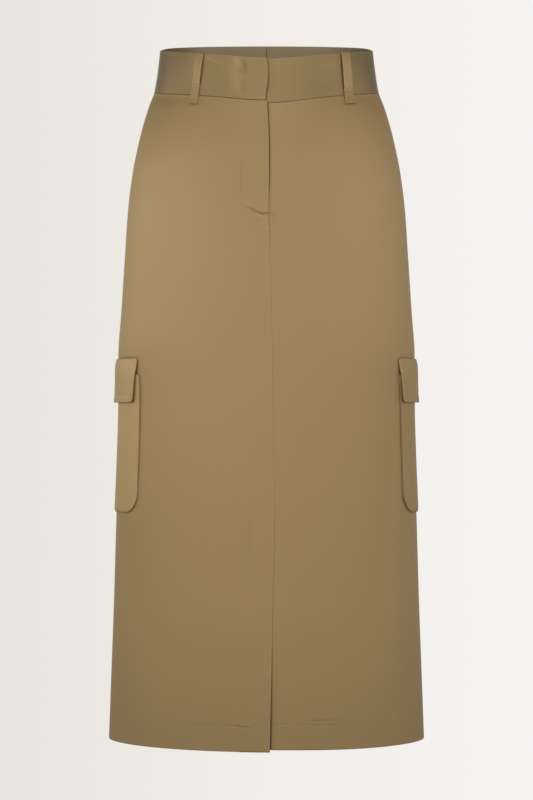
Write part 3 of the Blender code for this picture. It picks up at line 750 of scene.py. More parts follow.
def satin_cloth(add, colour, stretch, turn, side_tone):
    """Polyester satin, woven with long floats and pressed: a soft broad sheen, no sparkle.

    The floats are drawn as fine slanting lines, about twice as far apart as the real ones so
    that they show close up. A highlight is painted along pressed edges, a little lighter, and
    the colour and the sheen wander slightly over a hand's width, as on cloth that has been
    worn. Painted shade darkens the colour towards the hem and, by side_tone, beside the side
    seams; fold paints shade in the creases' troughs and highlight on their ridges.
    """
    uv, where = add("UVMap", {"uv_map": "cloth"}), add("TexCoord", out="Object")
    slant = add("Mapping", {"Rotation": (0, 0, np.radians(FLOAT_SLANT)), "Vector": uv})
    floats = add("TexWave", {
        "wave_profile": "SIN", "Scale": WAVE_APART / sizes().thread_apart, "Distortion": 0.6,
        "Detail": 1.0, "Detail Scale": 1.5, "Vector": slant}, "Fac")
    broad = add("TexNoise", {"Scale": 1 / SATIN_SPOTS, "Detail": 2.0, "Vector": where}, "Fac")
    fine = add("TexNoise", {"Scale": 1 / NAP, "Detail": 3.0, "Vector": where}, "Fac")
    press, fold, inside = (add("Attribute", {"attribute_name": name}, "Fac")
                           for name in ("press", "fold", "reverse"))
    woven = add("Mix", {"data_type": "RGBA", 0: broad, 6: shade_of(colour, 0.965),
                        7: shade_of(colour, 1.035)}, 2)
    faced = add("Mix", {"data_type": "RGBA", 0: inside, 6: woven, 7: shade_of("reverse")}, 2)
    # Painted shade: darker towards the hem, beside the side seams and in the creases' troughs,
    # lighter on their ridges; and darker between the floats
    level = add("SeparateXYZ", {"Vector": where}, "Z")
    across, up = (add("SeparateXYZ", {"Vector": uv}, axis) for axis in "XY")
    from_side = add("Math", {"operation": "ABSOLUTE", 0: across})
    slanted = add("Math", {"operation": "MULTIPLY_ADD", 0: up, 1: SIDE_TONE_SLANT, 2: from_side})
    tone = add("MapRange", {"Value": level, "From Min": HEM, "From Max": HEM_TONE_TOP,
                            "To Min": HEM_TONE})
    for other in (
        add("MapRange", {"interpolation_type": "SMOOTHSTEP", "Value": slanted,
                         "From Min": SIDE_TONE_FROM, "From Max": SIDE_TONE_TO,
                         "To Min": side_tone}),
        add("Math", {"operation": "MULTIPLY_ADD", 0: fold, 1: FOLD_SHADE, 2: 1.0}),
        add("MapRange", {"Value": floats, "To Min": 0.975, "To Max": 1.02}),
    ):
        tone = add("Math", {"operation": "MULTIPLY", 0: tone, 1: other})
    toned = add("VectorMath", {"operation": "SCALE", "Vector": faced, "Scale": tone})
    # Painted highlight: the colour is lighter along pressed edges
    pressed = add("MapRange", {"Value": press, "To Max": 0.35})
    edged = add("Mix", {"data_type": "RGBA", 0: pressed, 6: toned, 7: shade_of(colour, 1.16)}, 2)
    gloss = add("MapRange", {"Value": broad, "To Min": ROUGHNESS - ROUGHNESS_WANDER,
                             "To Max": ROUGHNESS + ROUGHNESS_WANDER})
    relief = add("Math", {"operation": "MULTIPLY_ADD", 0: fine, 1: 0.5, 2: floats})
    return {"IOR": 1.5, "Specular IOR Level": 0.5, "Metallic": METALLIC, "Base Color": edged,
            "Anisotropic": stretch, "Anisotropic Rotation": turn, "Roughness": gloss,
            "Normal": add("Bump", {"Strength": 0.35, "Distance": 0.04 * MM, "Height": relief}),
            "Tangent": add("Tangent", {"direction_type": "UV_MAP", "uv_map": "cloth"})}


def tape_weave(add):
    """Zip tape, polyester woven in a herringbone: dull, with ribs a millimetre apart."""
    uv = add("UVMap", {"uv_map": "cloth"})
    ribs = add("TexWave", {"Scale": WAVE_APART / MM, "Distortion": 0.3, "Vector": uv}, "Fac")
    tone = add("Mix", {"data_type": "RGBA", 0: ribs, 6: shade_of("tape", 0.88),
                       7: shade_of("tape", 1.08)}, 2)
    return {"Roughness": 0.8, "IOR": 1.5, "Base Color": tone,
            "Normal": add("Bump", {"Strength": 0.6, "Distance": 0.1 * MM, "Height": ribs})}


def nylon_coil(add):
    """The zip's coil, drawn nylon: smooth and slightly shiny, its dye a little uneven."""
    where = add("TexCoord", out="Object")
    dye = add("TexNoise", {"Scale": 1 / COIL_SPOTS, "Detail": 2.0, "Vector": where}, "Fac")
    tone = add("Mix", {"data_type": "RGBA", 0: dye, 6: shade_of("coil", 0.92),
                       7: shade_of("coil", 1.08)}, 2)
    return {"Roughness": 0.38, "IOR": 1.53, "Base Color": tone}


def plated_metal(add):
    """Pressed steel with a pale brass plating, tumbled: bright, with faint fine scuffs."""
    where = add("TexCoord", out="Object")
    scuffs = add("TexNoise", {"Scale": 1 / SCUFFS, "Detail": 4.0, "Vector": where}, "Fac")
    return {"Metallic": 1.0, "Base Color": shade_of("brass"),
            "Roughness": add("MapRange", {"Value": scuffs, "To Min": 0.22, "To Max": 0.42}),
            "Normal": add("Bump", {"Strength": 0.15, "Distance": 0.05 * MM, "Height": scuffs})}


def painted_floor(add):
    """Matt emulsion on a studio floor: pale, almost without gloss, rolled on unevenly."""
    where = add("TexCoord", out="Object")
    rolled = add("TexNoise", {"Scale": 1 / ROLLED, "Detail": 3.0, "Vector": where}, "Fac")
    tone = add("Mix", {"data_type": "RGBA", 0: rolled, 6: shade_of("floor", 0.98),
                       7: shade_of("floor", 1.01)}, 2)
    # Its own lamps light only the floor, so their light is added where the floor is seen
    seen = add("LightPath", out="Is Camera Ray")
    lamps = add("Math", {"operation": "MULTIPLY", 0: seen, 1: FLOOR_LAMPS})
    return {"Roughness": 0.85, "Base Color": tone, "Emission Color": tone,
            "Emission Strength": lamps}


# Each finish and what its maker is told: for satin the colour, how far its sheen is stretched
# along the thread and turned, and the painted shade beside the side seams, as the share of
# the colour left there
FINISHES = {
    "pressed_satin": (satin_cloth, "satin", 0.75, 0.0, 1.0),
    "interfaced_satin": (satin_cloth, "band", 0.35, 0.25, 0.67),
    "woven_zip_tape": (tape_weave,),
    "drawn_nylon_coil": (nylon_coil,),
    "tumbled_plated_steel": (plated_metal,),
    "matt_painted_floor": (painted_floor,),
}


def finish_named(name):
    """The finish of that name, made once and shared."""
    made = bpy.data.materials.get(name)
    if made is None:
        made = bpy.data.materials.new(name)
        made.use_nodes = True
        tree = made.node_tree
        tree.nodes.clear()
        maker, *told = FINISHES[name]
        shader = add_node(tree, "BsdfPrincipled", maker(partial(add_node, tree), *told))
        add_node(tree, "OutputMaterial", {"Surface": shader})
    return made


# -------- panels


def panel_rows(fine):
    """Levels of a panel from the waist seam to the hem's fold and up its turn-up, and off."""
    radius = sizes().hem_radius
    flat = spaced(WAIST_TOP, HEM + radius, 6 * MM, 0.9 * MM, fine)
    along, off = turned_edge(radius)
    inside = np.linspace(HEM + radius, HEM + TURN_UP, 8)[1:]
    level = np.concatenate([flat, HEM + radius - along, inside])
    turned = np.concatenate([0 * flat, off, np.full(len(inside), -2 * radius)])
    outside = np.arange(len(level)) < len(flat)
    return level[:, None], turned[:, None], outside[:, None]


def sew_panel(node, side, rows, columns, away, out, from_edge, gap=0.0):
    """A panel from its rows and its groups of columns.

    Out is what is given, the creases, the waist's tuck, the hem's turn and the turned edges,
    added up. At the waist seam the panel turns in under the band by a quarter round.
    """
    level, turned, outside = rows
    reach, column_off = columns
    shown = outside * (column_off == 0)
    marks = creases(node, away, level) + hem_line(reach, level) + flap_seam(side, reach, level)
    marks = marks * shown
    below = np.maximum(WAIST_TOP - level, 0)
    out = out + marks - WAIST_DROP * (1 - rounded(below, WAIST_ROUND)) + turned + column_off
    reach, level = np.broadcast_arrays(reach, level)
    points = place(side, reach, level, out)
    outward = (place(side, reach, level, out + MM) - points) * shown[..., None]
    press = np.exp(-np.maximum(np.minimum(from_edge, level - HEM), 0) / PRESS_WIDTH)
    # The creases, the hem line, the flap's seam and the gap are also painted into the colour:
    # painted shade in troughs and the gap, painted highlight on ridges
    thin_cloth(node, points, reach, level, outward, press, (marks - GAP_SHADE * gap) / MM,
               rests_on=[f"waistband_{WORD[side]}"])


def set_beside(level, *groups):
    """Groups of columns, each of reach and way off, spread over every row and joined."""
    spread = [np.broadcast_arrays(reach, off, level)[:2] for reach, off in groups]
    return [np.concatenate(one, axis=1) for one in zip(*spread)]


def front_panel(side):
    """One front: flat columns between two turned edges, or out to its under-laps.

    The left one sinks under the right one's edge, and the gap there is painted darker: painted
    shade.
    """
    rows = panel_rows(FRONT_FINE)
    level = rows[0]
    centre = centre_front(side, level)
    radius = sizes().fold_radius
    seam, seam_off = turned_seam(radius)
    side_edge = radius - SEAM_PRESSED
    shares = spaced(0, 1, 0.028, 0.003, [(0, 0.004)])[:-1]
    beside = spaced(SIDE_COLUMN, 0, 5 * MM, 1.2 * MM, [(0, FINE_COLUMNS)])
    under_share = np.linspace(0, 1, 13)[1:]
    if side == RIGHT:
        tight = lap_width(level, radius, SEAM_RADIUS, radius)
        edge = tight + lap_width(level, SEAM_GAP / 2, -SEAM_OVER, SEAM_GAP / 2)
        along, off = turned_edge(1.0)
        width = lap_width(level, FLY_LAP, ALLOWANCE, VENT_LAP, vent_cut)
        lapped = [(centre - edge + tight * along, tight * off),
                  (centre - edge - width * under_share, -2.0 * tight)]
    else:
        edge = 0.0
        beside = np.concatenate([beside[beside > LEAST_COLUMN], DIVE_COLUMNS])
        width = lap_width(level, FLY_LAP, SEAM_LAP, VENT_LAP, vent_cut)
        lapped = [(centre + width * under_share, 0.0)]
    columns = set_beside(
        level, (side_edge - seam[::-1], seam_off[::-1]),
        (side_edge + (centre - SIDE_COLUMN - side_edge) * shares, 0.0),
        (centre - edge - (SIDE_COLUMN - edge) * beside / SIDE_COLUMN, 0.0), *lapped,
    )
    reach = columns[0]
    away = centre - reach
    if side == RIGHT:
        gap, out, from_edge = 0.0, front_lift(away, level), np.minimum(np.abs(away), reach)
    else:
        at_hem = 1 + GAP_AT_HEM * fade((level - HEM) / GAP_FADE)
        gaping = fade((GAP_CLOSES - level) / GAP_FADE) + vent_open(level) ** 2 * at_hem
        gap = GAP_DEPTH * gaping * bell(away, GAP_WIDTH)
        sunk = (UNDER - EDGE_LIFT) * lap(level) * fade(away / SINK_WIDTH)
        sunk = sunk + UNDER * (1 - lap(level)) * fade(away / SEAM_DIVE) + gap
        out = np.where(away > 0, -sunk, front_lift(-away, level) - UNDER)
        near_hem = fade((level - HEM - TURN_UP) / HEM_SINK_FADE)
        out = out - HEM_SINK * near_hem * fade(np.maximum(away, 0) / SINK_WIDTH)
        from_edge = reach
    sew_panel(f"front_{WORD[side]}", side, rows, columns, away, out, from_edge, gap)


def back_panel(side):
    """One back: flat columns between its side seam and the centre back seam, both turned."""
    rows = panel_rows(PANEL_FINE)
    centre = centre_back(rows[0])
    radius = sizes().fold_radius
    seam, seam_off = turned_seam(radius)
    first, last = SEAM_PRESSED - radius, centre + (radius - SEAM_PRESSED)
    shares = spaced(0, 1, 0.02, 0.003, [(0, 0.004), (0.985, 1)])
    columns = set_beside(rows[0], (first + seam[::-1], seam_off[::-1]),
                         (first + (last - first) * shares, 0.0), (last - seam, seam_off))
    away = columns[0] - centre
    from_edge = np.minimum(np.abs(away), np.abs(columns[0]))
    sew_panel(f"back_{WORD[side]}", side, rows, columns, away, 0.0, from_edge)


# -------- waistband and loops


def waistband(side):
    """Half of the band: outer and inner face joined by round edges all round.

    Out is the lift and the bulge of the right end, or the sink of the left end under it, and
    the band's creases.
    """
    radius, top, bottom = BAND_ROUND, BAND_TOP, WAIST_SEAM + SEAM_GAP / 2
    level = edge_places(top, bottom, radius, 41)[:, None]
    near_front = edge_places(0.0, BAND_SPACED, radius,
                             spaced(0.0, BAND_SPACED, 4 * MM, 1.3 * MM, [(0, BAND_FINE)]))
    near_front = near_front[near_front < BAND_NEAR_FRONT]
    if side == RIGHT:
        wave = read(END_WAVE, "past", level) * fade(near_front / END_WAVE_WIDTH)
        near_front = near_front + SEAM_GAP / 2 - wave
    else:
        near_front = near_front - BAND_LAP + 0 * level
    centre, back = centre_front(side, level), centre_back(level) + SEAM_GAP / 2
    start = centre - near_front[:, -1:]
    from_back = edge_places(0.0, 1.0, BAND_END_SHARE, 76)[EDGE_PLACES:]
    reach = np.concatenate([centre - near_front, start + (back - start) * from_back], axis=1)
    away, away_back = centre - reach, reach - back
    name = WORD[side]
    marks = creases(f"band_{name}", away, level) + creases(f"band_back_{name}", away_back, level)
    if side == RIGHT:
        plain, bulge, gap = band_lift(away), band_bulge(away, level), 0.0
    else:
        under = BAND_WALL + UNDER_BAND
        sunk = (BAND_LIFT - under) * fade(away / SINK_WIDTH)
        plain, bulge = np.where(away > 0, sunk, band_lift(-away) - under), 0.0
        # Painted shade: the left end is painted darker along the right end's edge
        gap = GAP_DEPTH * bell(away - read(END_WAVE, "past", level), GAP_WIDTH)
    distance = least(top - level, level - bottom, away - away[:, :1], away_back)
    sag = TOP_SAG * bell(reach, TOP_SAG_WIDTH) * (level - bottom) / (top - bottom)
    slab(f"waistband_{name}", side, reach, level - sag, plain + bulge + marks, BAND_WALL,
         distance, radius, under=plain, fold=(marks - GAP_SHADE * gap) / MM,
         finish="interfaced_satin", slot="band_satin", held="folded")


def belt_loop(node, side, seam, top, end, width_top, width_end, tack_at, turns_over):
    """A strip carried up the band along the loop's profile, round at its edges.

    Top and end are its middle's ways from the seam, and tack_at is its tack's share of the
    way up, in percent.
    """
    foot = WAIST_SEAM - LOOP_END
    ups, outs = np.array(LOOP_PROFILE).T
    ups = foot + (BAND_TOP - foot) * np.interp(ups, (0, LOOP_TACK, 100), (0, tack_at / 100, 1))
    outs = outs * MM
    if turns_over:
        past, over = np.array(LOOP_TURN).T * MM
        ups, outs = np.concatenate([ups, BAND_TOP + past]), np.concatenate([outs, over])
    else:
        ups, outs = np.append(ups, BAND_TOP - LOOP_BELOW_TOP), np.append(outs, outs[-1])
    knots = np.concatenate([[0], np.cumsum(np.hypot(np.diff(ups), np.diff(outs)))])
    run = {"level": knots, "up": ups, "out": outs}
    along = edge_places(0.0, knots[-1], LOOP_WALL / 2, 60)[:, None]
    level = read(run, "up", along)
    on_band = np.minimum(level, BAND_TOP)
    way = (on_band - foot) / (BAND_TOP - foot)
    half = (width_end + (width_top - width_end) * way) * MM / 2
    edge = LOOP_WALL / ((width_top + width_end) * MM)
    across = half * edge_places(-1.0, 1.0, edge, 12)
    centre = centre_front(0, on_band) if seam == "front" else centre_back(on_band)
    middle = centre - (end + (top - end) * way) * MM
    distance = least(half - np.abs(across), along, knots[-1] - along)
    # The loop's colour is a little darker
    slab(node, side, middle + across, level, read(run, "out", along), LOOP_WALL, distance,
         fold=LOOP_SHEEN, held="folded", rests_on=["waistband_right"])


# -------- pockets and flaps


def pocket_out(side, across, level):
    """How far the outer face of the pocket stands off the panel: less at its bottom edge."""
    down = np.clip((POCKET_MOUTH - level) / (POCKET_MOUTH - POCKET_BOTTOM), 0, 1)
    middle = FACE_OUT_MOUTH + (FACE_OUT_BOTTOM - FACE_OUT_MOUTH) * down**2
    near_edge = np.clip(np.abs(across) / POCKET_HALF, 0, 1) ** 2
    full = middle + (FACE_OUT_EDGE[side] - middle) * near_edge
    return FACE_OUT_LEAST + (full - FACE_OUT_LEAST) * rounded(level - POCKET_BOTTOM, FACE_ROUND)


def pocket_reach(side, across, level):
    """Reach of a place on the pocket, its front edge carried forward at the mouth."""
    flare = MOUTH_FLARE[side] * fade((POCKET_MOUTH - level) / MOUTH_FLARE_DOWN)
    return across - side * POCKET_SHIFTS[side] + flare * np.clip(across / POCKET_HALF, 0, 1) ** 2


def pocket_face(side):
    """The pocket's face: rows whose ends follow the round lower corners."""
    corner, centre = POCKET_CORNER - FACE_INSET, POCKET_BOTTOM + POCKET_CORNER
    straight = edge_places(POCKET_MOUTH, centre, FACE_WALL / 2,
                           spaced(POCKET_MOUTH, centre, 5 * MM))[:-EDGE_PLACES]
    sweep = np.linspace(0, np.pi / 2, 19)
    level = np.concatenate([straight, centre - corner * np.sin(sweep)])[:, None]
    below = np.clip(centre - level, 0, corner)
    half = POCKET_HALF - POCKET_CORNER + np.sqrt(corner**2 - below**2)
    across = half * edge_places(-1.0, 1.0, EDGE_SHARE, 47)
    from_corner = np.hypot(np.maximum(np.abs(across) - POCKET_HALF + POCKET_CORNER, 0),
                           np.maximum(centre - level, 0))
    # The right pocket's face is painted lighter: a painted highlight
    slab(f"pocket_{WORD[side]}", side, pocket_reach(side, across, level), level,
         pocket_out(side, across, level), FACE_WALL,
         np.minimum(POCKET_MOUTH - level, corner - from_corner), fold=POCKET_SHEEN[side],
         rests_on=[f"pocket_gusset_{WORD[side]}"])


def pocket_gusset(side):
    """The strip round the pocket: a run from the panel up to the face, carried round it."""
    inset, share = np.array(GUSSET_RUN).T[:, :, None]
    radius = POCKET_CORNER - inset * MM
    centre, flat = POCKET_BOTTOM + POCKET_CORNER, POCKET_HALF - POCKET_CORNER
    down = spaced(POCKET_MOUTH, centre, 5 * MM)
    sweep = np.linspace(0, np.pi / 2, 14)[1:-1]
    # Down the front edge, round the bottom and up the back edge: each a centre and a direction
    stretches = (
        (flat, down, 0.0), (flat, centre, sweep),
        (np.linspace(flat, -flat, 20), centre, np.pi / 2),
        (-flat, centre, np.pi - sweep[::-1]), (-flat, down[::-1], np.pi),
    )
    spread = zip(*(np.broadcast_arrays(*one) for one in stretches))
    from_across, from_level, turn = (np.concatenate(one) for one in spread)
    across, level = from_across + radius * np.cos(turn), from_level - radius * np.sin(turn)
    out = (pocket_out(side, across, level) - FACE_WALL - UNDER_FACE) * share
    reach = pocket_reach(side, across, level)
    points = place(side, reach, level, out)
    middle = place(side, -side * POCKET_SHIFTS[side], (POCKET_MOUTH + centre) / 2, 0.0)
    thin_cloth(f"pocket_gusset_{WORD[side]}", points, reach, level, points - middle,
               0 * reach, 0 * reach, held="folded",
               rests_on=[f"front_{WORD[side]}", f"back_{WORD[side]}"])


def pocket_flap(side):
    """The flap: rows off the panel by the flap's table, corners rounded, edges turned.

    The turned edges inside make a low welt along both ends and the free edge.
    """
    end, top = FLAP["level"][[0, -1]]
    inner = spaced(top, end, 3 * MM, 0.6 * MM, [(end, end + 4 * MM), (top - 3 * MM, top)])
    level = edge_places(top, end, FLAP_WALL / 2, inner)[:, None]

    def corner_cut(radius, distance):
        """How far a round corner draws the end in, at a distance from the edge beside it."""
        inside = np.clip(radius - distance, 0, radius)
        return radius - np.sqrt(radius**2 - inside**2)

    half = read(FLAP, "half_width", level) - corner_cut(FLAP_CORNER_TOP, top - level)
    half = half - corner_cut(FLAP_CORNER_END, level - end)
    inner = spaced(-1.0, 1.0, 0.05, EDGE_SHARE, [(-1, -0.9), (0.9, 1)])
    shares = edge_places(-1.0, 1.0, EDGE_SHARE, inner)
    down = (top - level) / (top - end)
    across = half * shares - FLAP_CURL_IN * down * (1 + shares) / 2
    from_end = half * (1 - np.abs(shares))
    from_free = np.minimum(from_end, level - end)
    welt = FLAP_WELT * fade((from_free - FLAP_WELT_WIDTH) / FLAP_WELT_EDGE)
    curl = np.clip(1 - half * (1 - shares) / FLAP_CURL_WIDTH, 0, 1) ** 2 * fade(1 - down)
    middle, ends = read(FLAP, "out_middle", level), read(FLAP, "out_ends", level)
    out = middle + (ends - middle) * (across / half) ** 2 + welt - FLAP_CURL * curl
    # The flap's colour is painted darker along its curled free end, a painted shade, and lighter
    # on the right pocket, a painted highlight
    slab(f"flap_{WORD[side]}", side, across - side * FLAP_SHIFT, level, out, FLAP_WALL,
         np.minimum(from_free, top - level), fold=FLAP_SHEEN[side] - FLAP_CURL_SHADE * curl,
         held="hung", rests_on=[f"front_{WORD[side]}", f"back_{WORD[side]}"])


# -------- fly


def fly_facing():
    """J-shaped facing: straight down, then its outer edge curves in to the fly's bottom."""
    top, end, curve_top = FACING_TOP, FLY_BOTTOM + FACING_SHORT, FLY_BOTTOM + FACING_CURVE
    inner = spaced(top, FLY_BOTTOM, 5 * MM, 1.5 * MM, [(FLY_BOTTOM, curve_top)])
    level = edge_places(top, end, FACING_WALL / 2, inner)[:, None]
    low = np.clip((curve_top - level) / FACING_CURVE, 0, 1)
    wide = (FACING_TO - FACING_FROM) * np.sqrt(np.maximum(1 - low**2, FACING_LEAST))
    past = wide * edge_places(0.0, 1.0, 0.03, 14)
    distance = least(past, wide - past, top - level, level - end)
    away = FACING_FROM + past
    slab("fly_facing", RIGHT, centre_front(RIGHT, level) - away, level,
         front_lift(away, level) + FACING_OUT, FACING_WALL, distance, held="hung",
         rests_on=["front_right"])


def zip_tape():
    """The zip's tape, with the coil sewn along its middle."""
    radius = TAPE_WALL / 2
    level = edge_places(ZIP_TOP, ZIP_BOTTOM, radius, spaced(ZIP_TOP, ZIP_BOTTOM, 4 * MM))[:, None]
    across = edge_places(-ZIP_HALF, ZIP_HALF, radius, 13)
    distance = least(ZIP_HALF - np.abs(across), ZIP_TOP - level, level - ZIP_BOTTOM)
    slab("zip", RIGHT, centre_front(RIGHT, level) + across, level, ZIP_OUT, TAPE_WALL, distance,
         name="zip_tape", finish="woven_zip_tape", slot="zip_tape", held="hung",
         rests_on=["front_left"])


def zip_coil():
    """Both rows of the coil: a round wire carried along a flattened helix."""
    turns = int((ZIP_CHAIN_TOP - ZIP_BOTTOM) / COIL_PITCH)
    angle = np.linspace(0, 2 * np.pi * turns, COIL_STEPS * turns + 1)[:, None]
    around = np.linspace(0, 2 * np.pi, WIRE_STEPS + 1)[:-1]
    level = ZIP_CHAIN_TOP - COIL_FROM_TOP - COIL_PITCH * angle / (2 * np.pi) + 0 * around
    level = np.maximum(level, ZIP_BOTTOM + COIL_FROM_END)
    points, quads, uv = [], [], []
    for hand, start in ((-1, 0.0), (1, np.pi)):
        across = COIL_INNER + COIL_WIDE / 2 * (1 - np.cos(angle + start))
        across = hand * (across + COIL_WIRE * np.cos(around))
        out = COIL_DEEP * (np.sin(angle + start) - 1) + COIL_WIRE * (np.sin(around) - 1)
        reach = centre_front(RIGHT, level) + across
        tube = cells(number_grid(*level.shape, closed=True)) + level.size * len(points)
        points.append(place(RIGHT, reach, level, ZIP_OUT - TAPE_WALL + out).reshape(-1, 3))
        quads.append(tube if hand > 0 else tube[:, ::-1])
        uv.append(np.stack([across, level], axis=-1).reshape(-1, 2))
    piece = put_mesh("zip_coil", "drawn_nylon_coil", *map(np.concatenate, (points, quads, uv)))
    settle(piece, None, "zip_tape")


def plate(centre, axes, wide, high, thick, square, taper, steps=24):
    """A rounded plate: its outline scaled in towards the middle as a quarter circle falls.

    The outline's radius is one over the root, by square, of the powers, by square, of sine
    and cosine, times half width and half height. Axes are the across, up and out directions.
    The rows run from the middle of one face over the rim to the other.
    """
    angle = np.linspace(0, 2 * np.pi, steps + 1)[:-1]
    sine, cosine = np.sin(angle), np.cos(angle)
    outline = (np.abs(sine) ** square + np.abs(cosine) ** square) ** (-1 / square)
    half_width, half_height = wide * (1 + taper * cosine) * outline, high * outline
    rim, edge = np.linspace(-np.pi / 2, np.pi / 2, 7), thick / 2
    shrink = 1 - edge * (1 - np.cos(rim)) / half_width.max()
    shrink = np.concatenate([[1e-3, 0.5], shrink, [0.5, 1e-3]])[:, None]
    off = np.concatenate([[-edge, -edge], edge * np.sin(rim), [edge, edge]])[:, None]
    offsets = np.broadcast_arrays(shrink * half_width * sine, shrink * half_height * cosine, off)
    points = (centre + np.stack(offsets, axis=-1) @ axes).reshape(-1, 3)
    quads = cells(number_grid(len(shrink), steps, closed=True).T)
    return points, facing(points, quads, points - points.mean(axis=0))


def metal_piece(name, node, reach, level, out, table):
    """A table of plates about one place of the right front, as one piece of plated metal."""
    here = place(RIGHT, reach, level, out)
    up = place(RIGHT, reach, level + MM, out) - here
    outward = place(RIGHT, reach, level, out + MM) - here
    up, outward = up / np.linalg.norm(up), outward / np.linalg.norm(outward)
    axes = np.array([np.cross(up, outward), up, outward])
    points, quads = [], []
    for row in table:
        one = dict(zip(PLATE_COLUMNS, row))
        centre = here + outward * one["out"] * MM + up * one["up"] * MM
        size = mm(one["wide"], one["high"], one["thick"])
        flat, corners = plate(centre, axes, *size, one["square"], one["taper"])
        quads.append(corners + sum(map(len, points)))
        points.append(flat)
    points = np.concatenate(points)
    piece = put_mesh(name, "tumbled_plated_steel", points, np.concatenate(quads),
                     points[:, [0, 2]])
    settle(piece, node, "metal")


def zip_slider():
    """The slider: two shouldered plates with a bridge between, and its pull hanging down."""
    level = np.array(SLIDER_LEVEL)
    metal_piece("zip_slider_plates", "zip_slider", centre_front(RIGHT, level), level,
                ZIP_OUT - TAPE_WALL - SLIDER_BEHIND, SLIDER_PLATES)


def waist_hook():
    """The flat hook and its bar, between the two ends of the band."""
    level = np.array(HOOK_LEVEL)
    metal_piece("waist_hook_plate", "waist_hook", centre_front(RIGHT, level) - HOOK_FROM_CENTRE,
                level, HOOK_OUT, HOOK_PLATES)


# -------- studio

CAMERA_AT, CAMERA_LENS = (0.0, -3.3, -0.4279), 114.2
BACKDROP_SPREAD = 0.105
# The floor's rings, in metres: radius and height
FLOOR_RINGS = (
    (5e-5, 0), (0.2, 0), (0.5, 0), (0.9, 0), (1.2, 0), (1.33, 0), (1.36, -0.01), (1.36, -0.03),
)

# Softboxes: where each stands and what it faces, its width and height, in metres, its watts
LIGHT_COLUMNS = ("name", "at", "towards", "size", "power")
LIGHTS = (
    ("top_box", (0.0, -1.1, 1.1), (0, 0, -0.2), (1.2, 0.8), 9.6),
    ("left_front", (-0.7, -1.4, -0.1), (0, 0, -0.25), (0.7, 0.7), 0.9),
    ("right_front", (0.7, -1.4, -0.1), (0, 0, -0.25), (0.7, 0.7), 0.2),
    ("left_box", (-1.25, -0.75, 0.12), (0, 0, -0.28), (0.7, 0.7), 2.0),
    ("right_box", (1.25, -0.75, 0.2), (0, 0, -0.25), (0.7, 0.7), 1.9),
    ("left_rim", (-1.4, 0.25, 0.0), (0, 0, -0.26), (0.4, 0.6), 2.1),
    ("right_rim", (1.4, 0.25, 0.1), (0, 0, -0.2), (0.4, 0.6), 0.8),
    ("back_box", (0.0, 1.7, 0.0), (0, 0, -0.3), (1.6, 1.2), 4.6),
)

# Fill from the surround: its strength at three heights of the sky, in front and behind
FILL_HEIGHTS, FILL_SCALE = (-0.5, 0.0, 0.6), 10.0
FILL_FRONT, FILL_BEHIND = (0.0, 1.35, 0.0), (0.0, 0.73, 0.0)


def floor_disc():
    """A round floor: rings of points, closed at the middle by a small ring."""
    radius, drop = np.array(FLOOR_RINGS).T[:, :, None]
    angle = np.linspace(0, 2 * np.pi, 97)[:-1]
    z = HEM - sizes().floor_drop + drop + 0 * angle
    points = np.stack([radius * np.cos(angle), radius * np.sin(angle), z], axis=-1)
    quads, flat = cells(number_grid(*z.shape, closed=True)), points.reshape(-1, 3)
    put_mesh("studio_floor", "matt_painted_floor", flat, quads, flat[:, :2])


def soft_light(name, at, towards, size, power):
    """A softbox that lights the cloth and isn't seen itself."""
    data = bpy.data.lights.new(name, "AREA")
    data.shape = "RECTANGLE"
    data.size, data.size_y = size
    data.energy = power
    light = bpy.data.objects.new(name, data)
    light.location = at
    light.rotation_mode = "QUATERNION"
    light.rotation_quaternion = (Vector(towards) - Vector(at)).to_track_quat("-Z", "Y")
    light.visible_camera = False
    bpy.context.scene.collection.objects.link(light)


def backdrop_world():
    """A pale surround, a little warmer on the left, which lights the cloth only dimly."""
    world = bpy.data.worlds.new("pale_backdrop")
    world.use_nodes = True
    tree = world.node_tree
    tree.nodes.clear()
    add = partial(add_node, tree)
    way = add("TexCoord", out="Generated")
    x, y, z = (add("SeparateXYZ", {"Vector": way}, axis) for axis in "XYZ")
    left = add("MapRange", {"Value": x, "From Min": -BACKDROP_SPREAD, "From Max": 0.0})
    right = add("MapRange", {"Value": x, "From Max": BACKDROP_SPREAD})
    wall = add("Mix", {"data_type": "RGBA", 0: left, 6: shade_of("wall_left"),
                       7: shade_of("wall_middle")}, 2)
    wall = add("Mix", {"data_type": "RGBA", 0: right, 6: wall, 7: shade_of("wall_right")}, 2)
    seen = add("Background", {"Strength": 1.0, "Color": wall})
    height = add("MapRange", {"Value": z, "From Min": -1.0})
    fills = []
    for strengths in (FILL_FRONT, FILL_BEHIND):
        fills.append(add("ValToRGB", {"Fac": height}))
        stops = fills[-1].node.color_ramp.elements
        stops.new(0.5)
        for stop, at, strength in zip(stops, FILL_HEIGHTS, strengths):
            stop.position = (at + 1) / 2
            stop.color = (*[strength / FILL_SCALE] * 3, 1.0)
    behind = add("MapRange", {"Value": y, "From Min": -0.3, "From Max": 0.3})
    fill = add("Mix", {"data_type": "RGBA", 0: behind, 6: fills[0], 7: fills[1]}, 2)
    fill = add("Background", {"Strength": FILL_SCALE, "Color": fill})
    path = add("LightPath", out="Is Camera Ray")
    add("OutputWorld", {"Surface": add("MixShader", {0: path, 1: fill, 2: seen})})
    bpy.context.scene.world = world


def studio_camera():
    data = bpy.data.cameras.new("camera")
    data.lens = CAMERA_LENS
    data.sensor_width = 36
    data.clip_start, data.clip_end = 0.1, 50
    camera = bpy.data.objects.new("camera", data)
    camera.location = CAMERA_AT
    camera.rotation_euler = (np.pi / 2, 0, 0)
    bpy.context.scene.collection.objects.link(camera)
    bpy.context.scene.camera = camera


# -------- operators


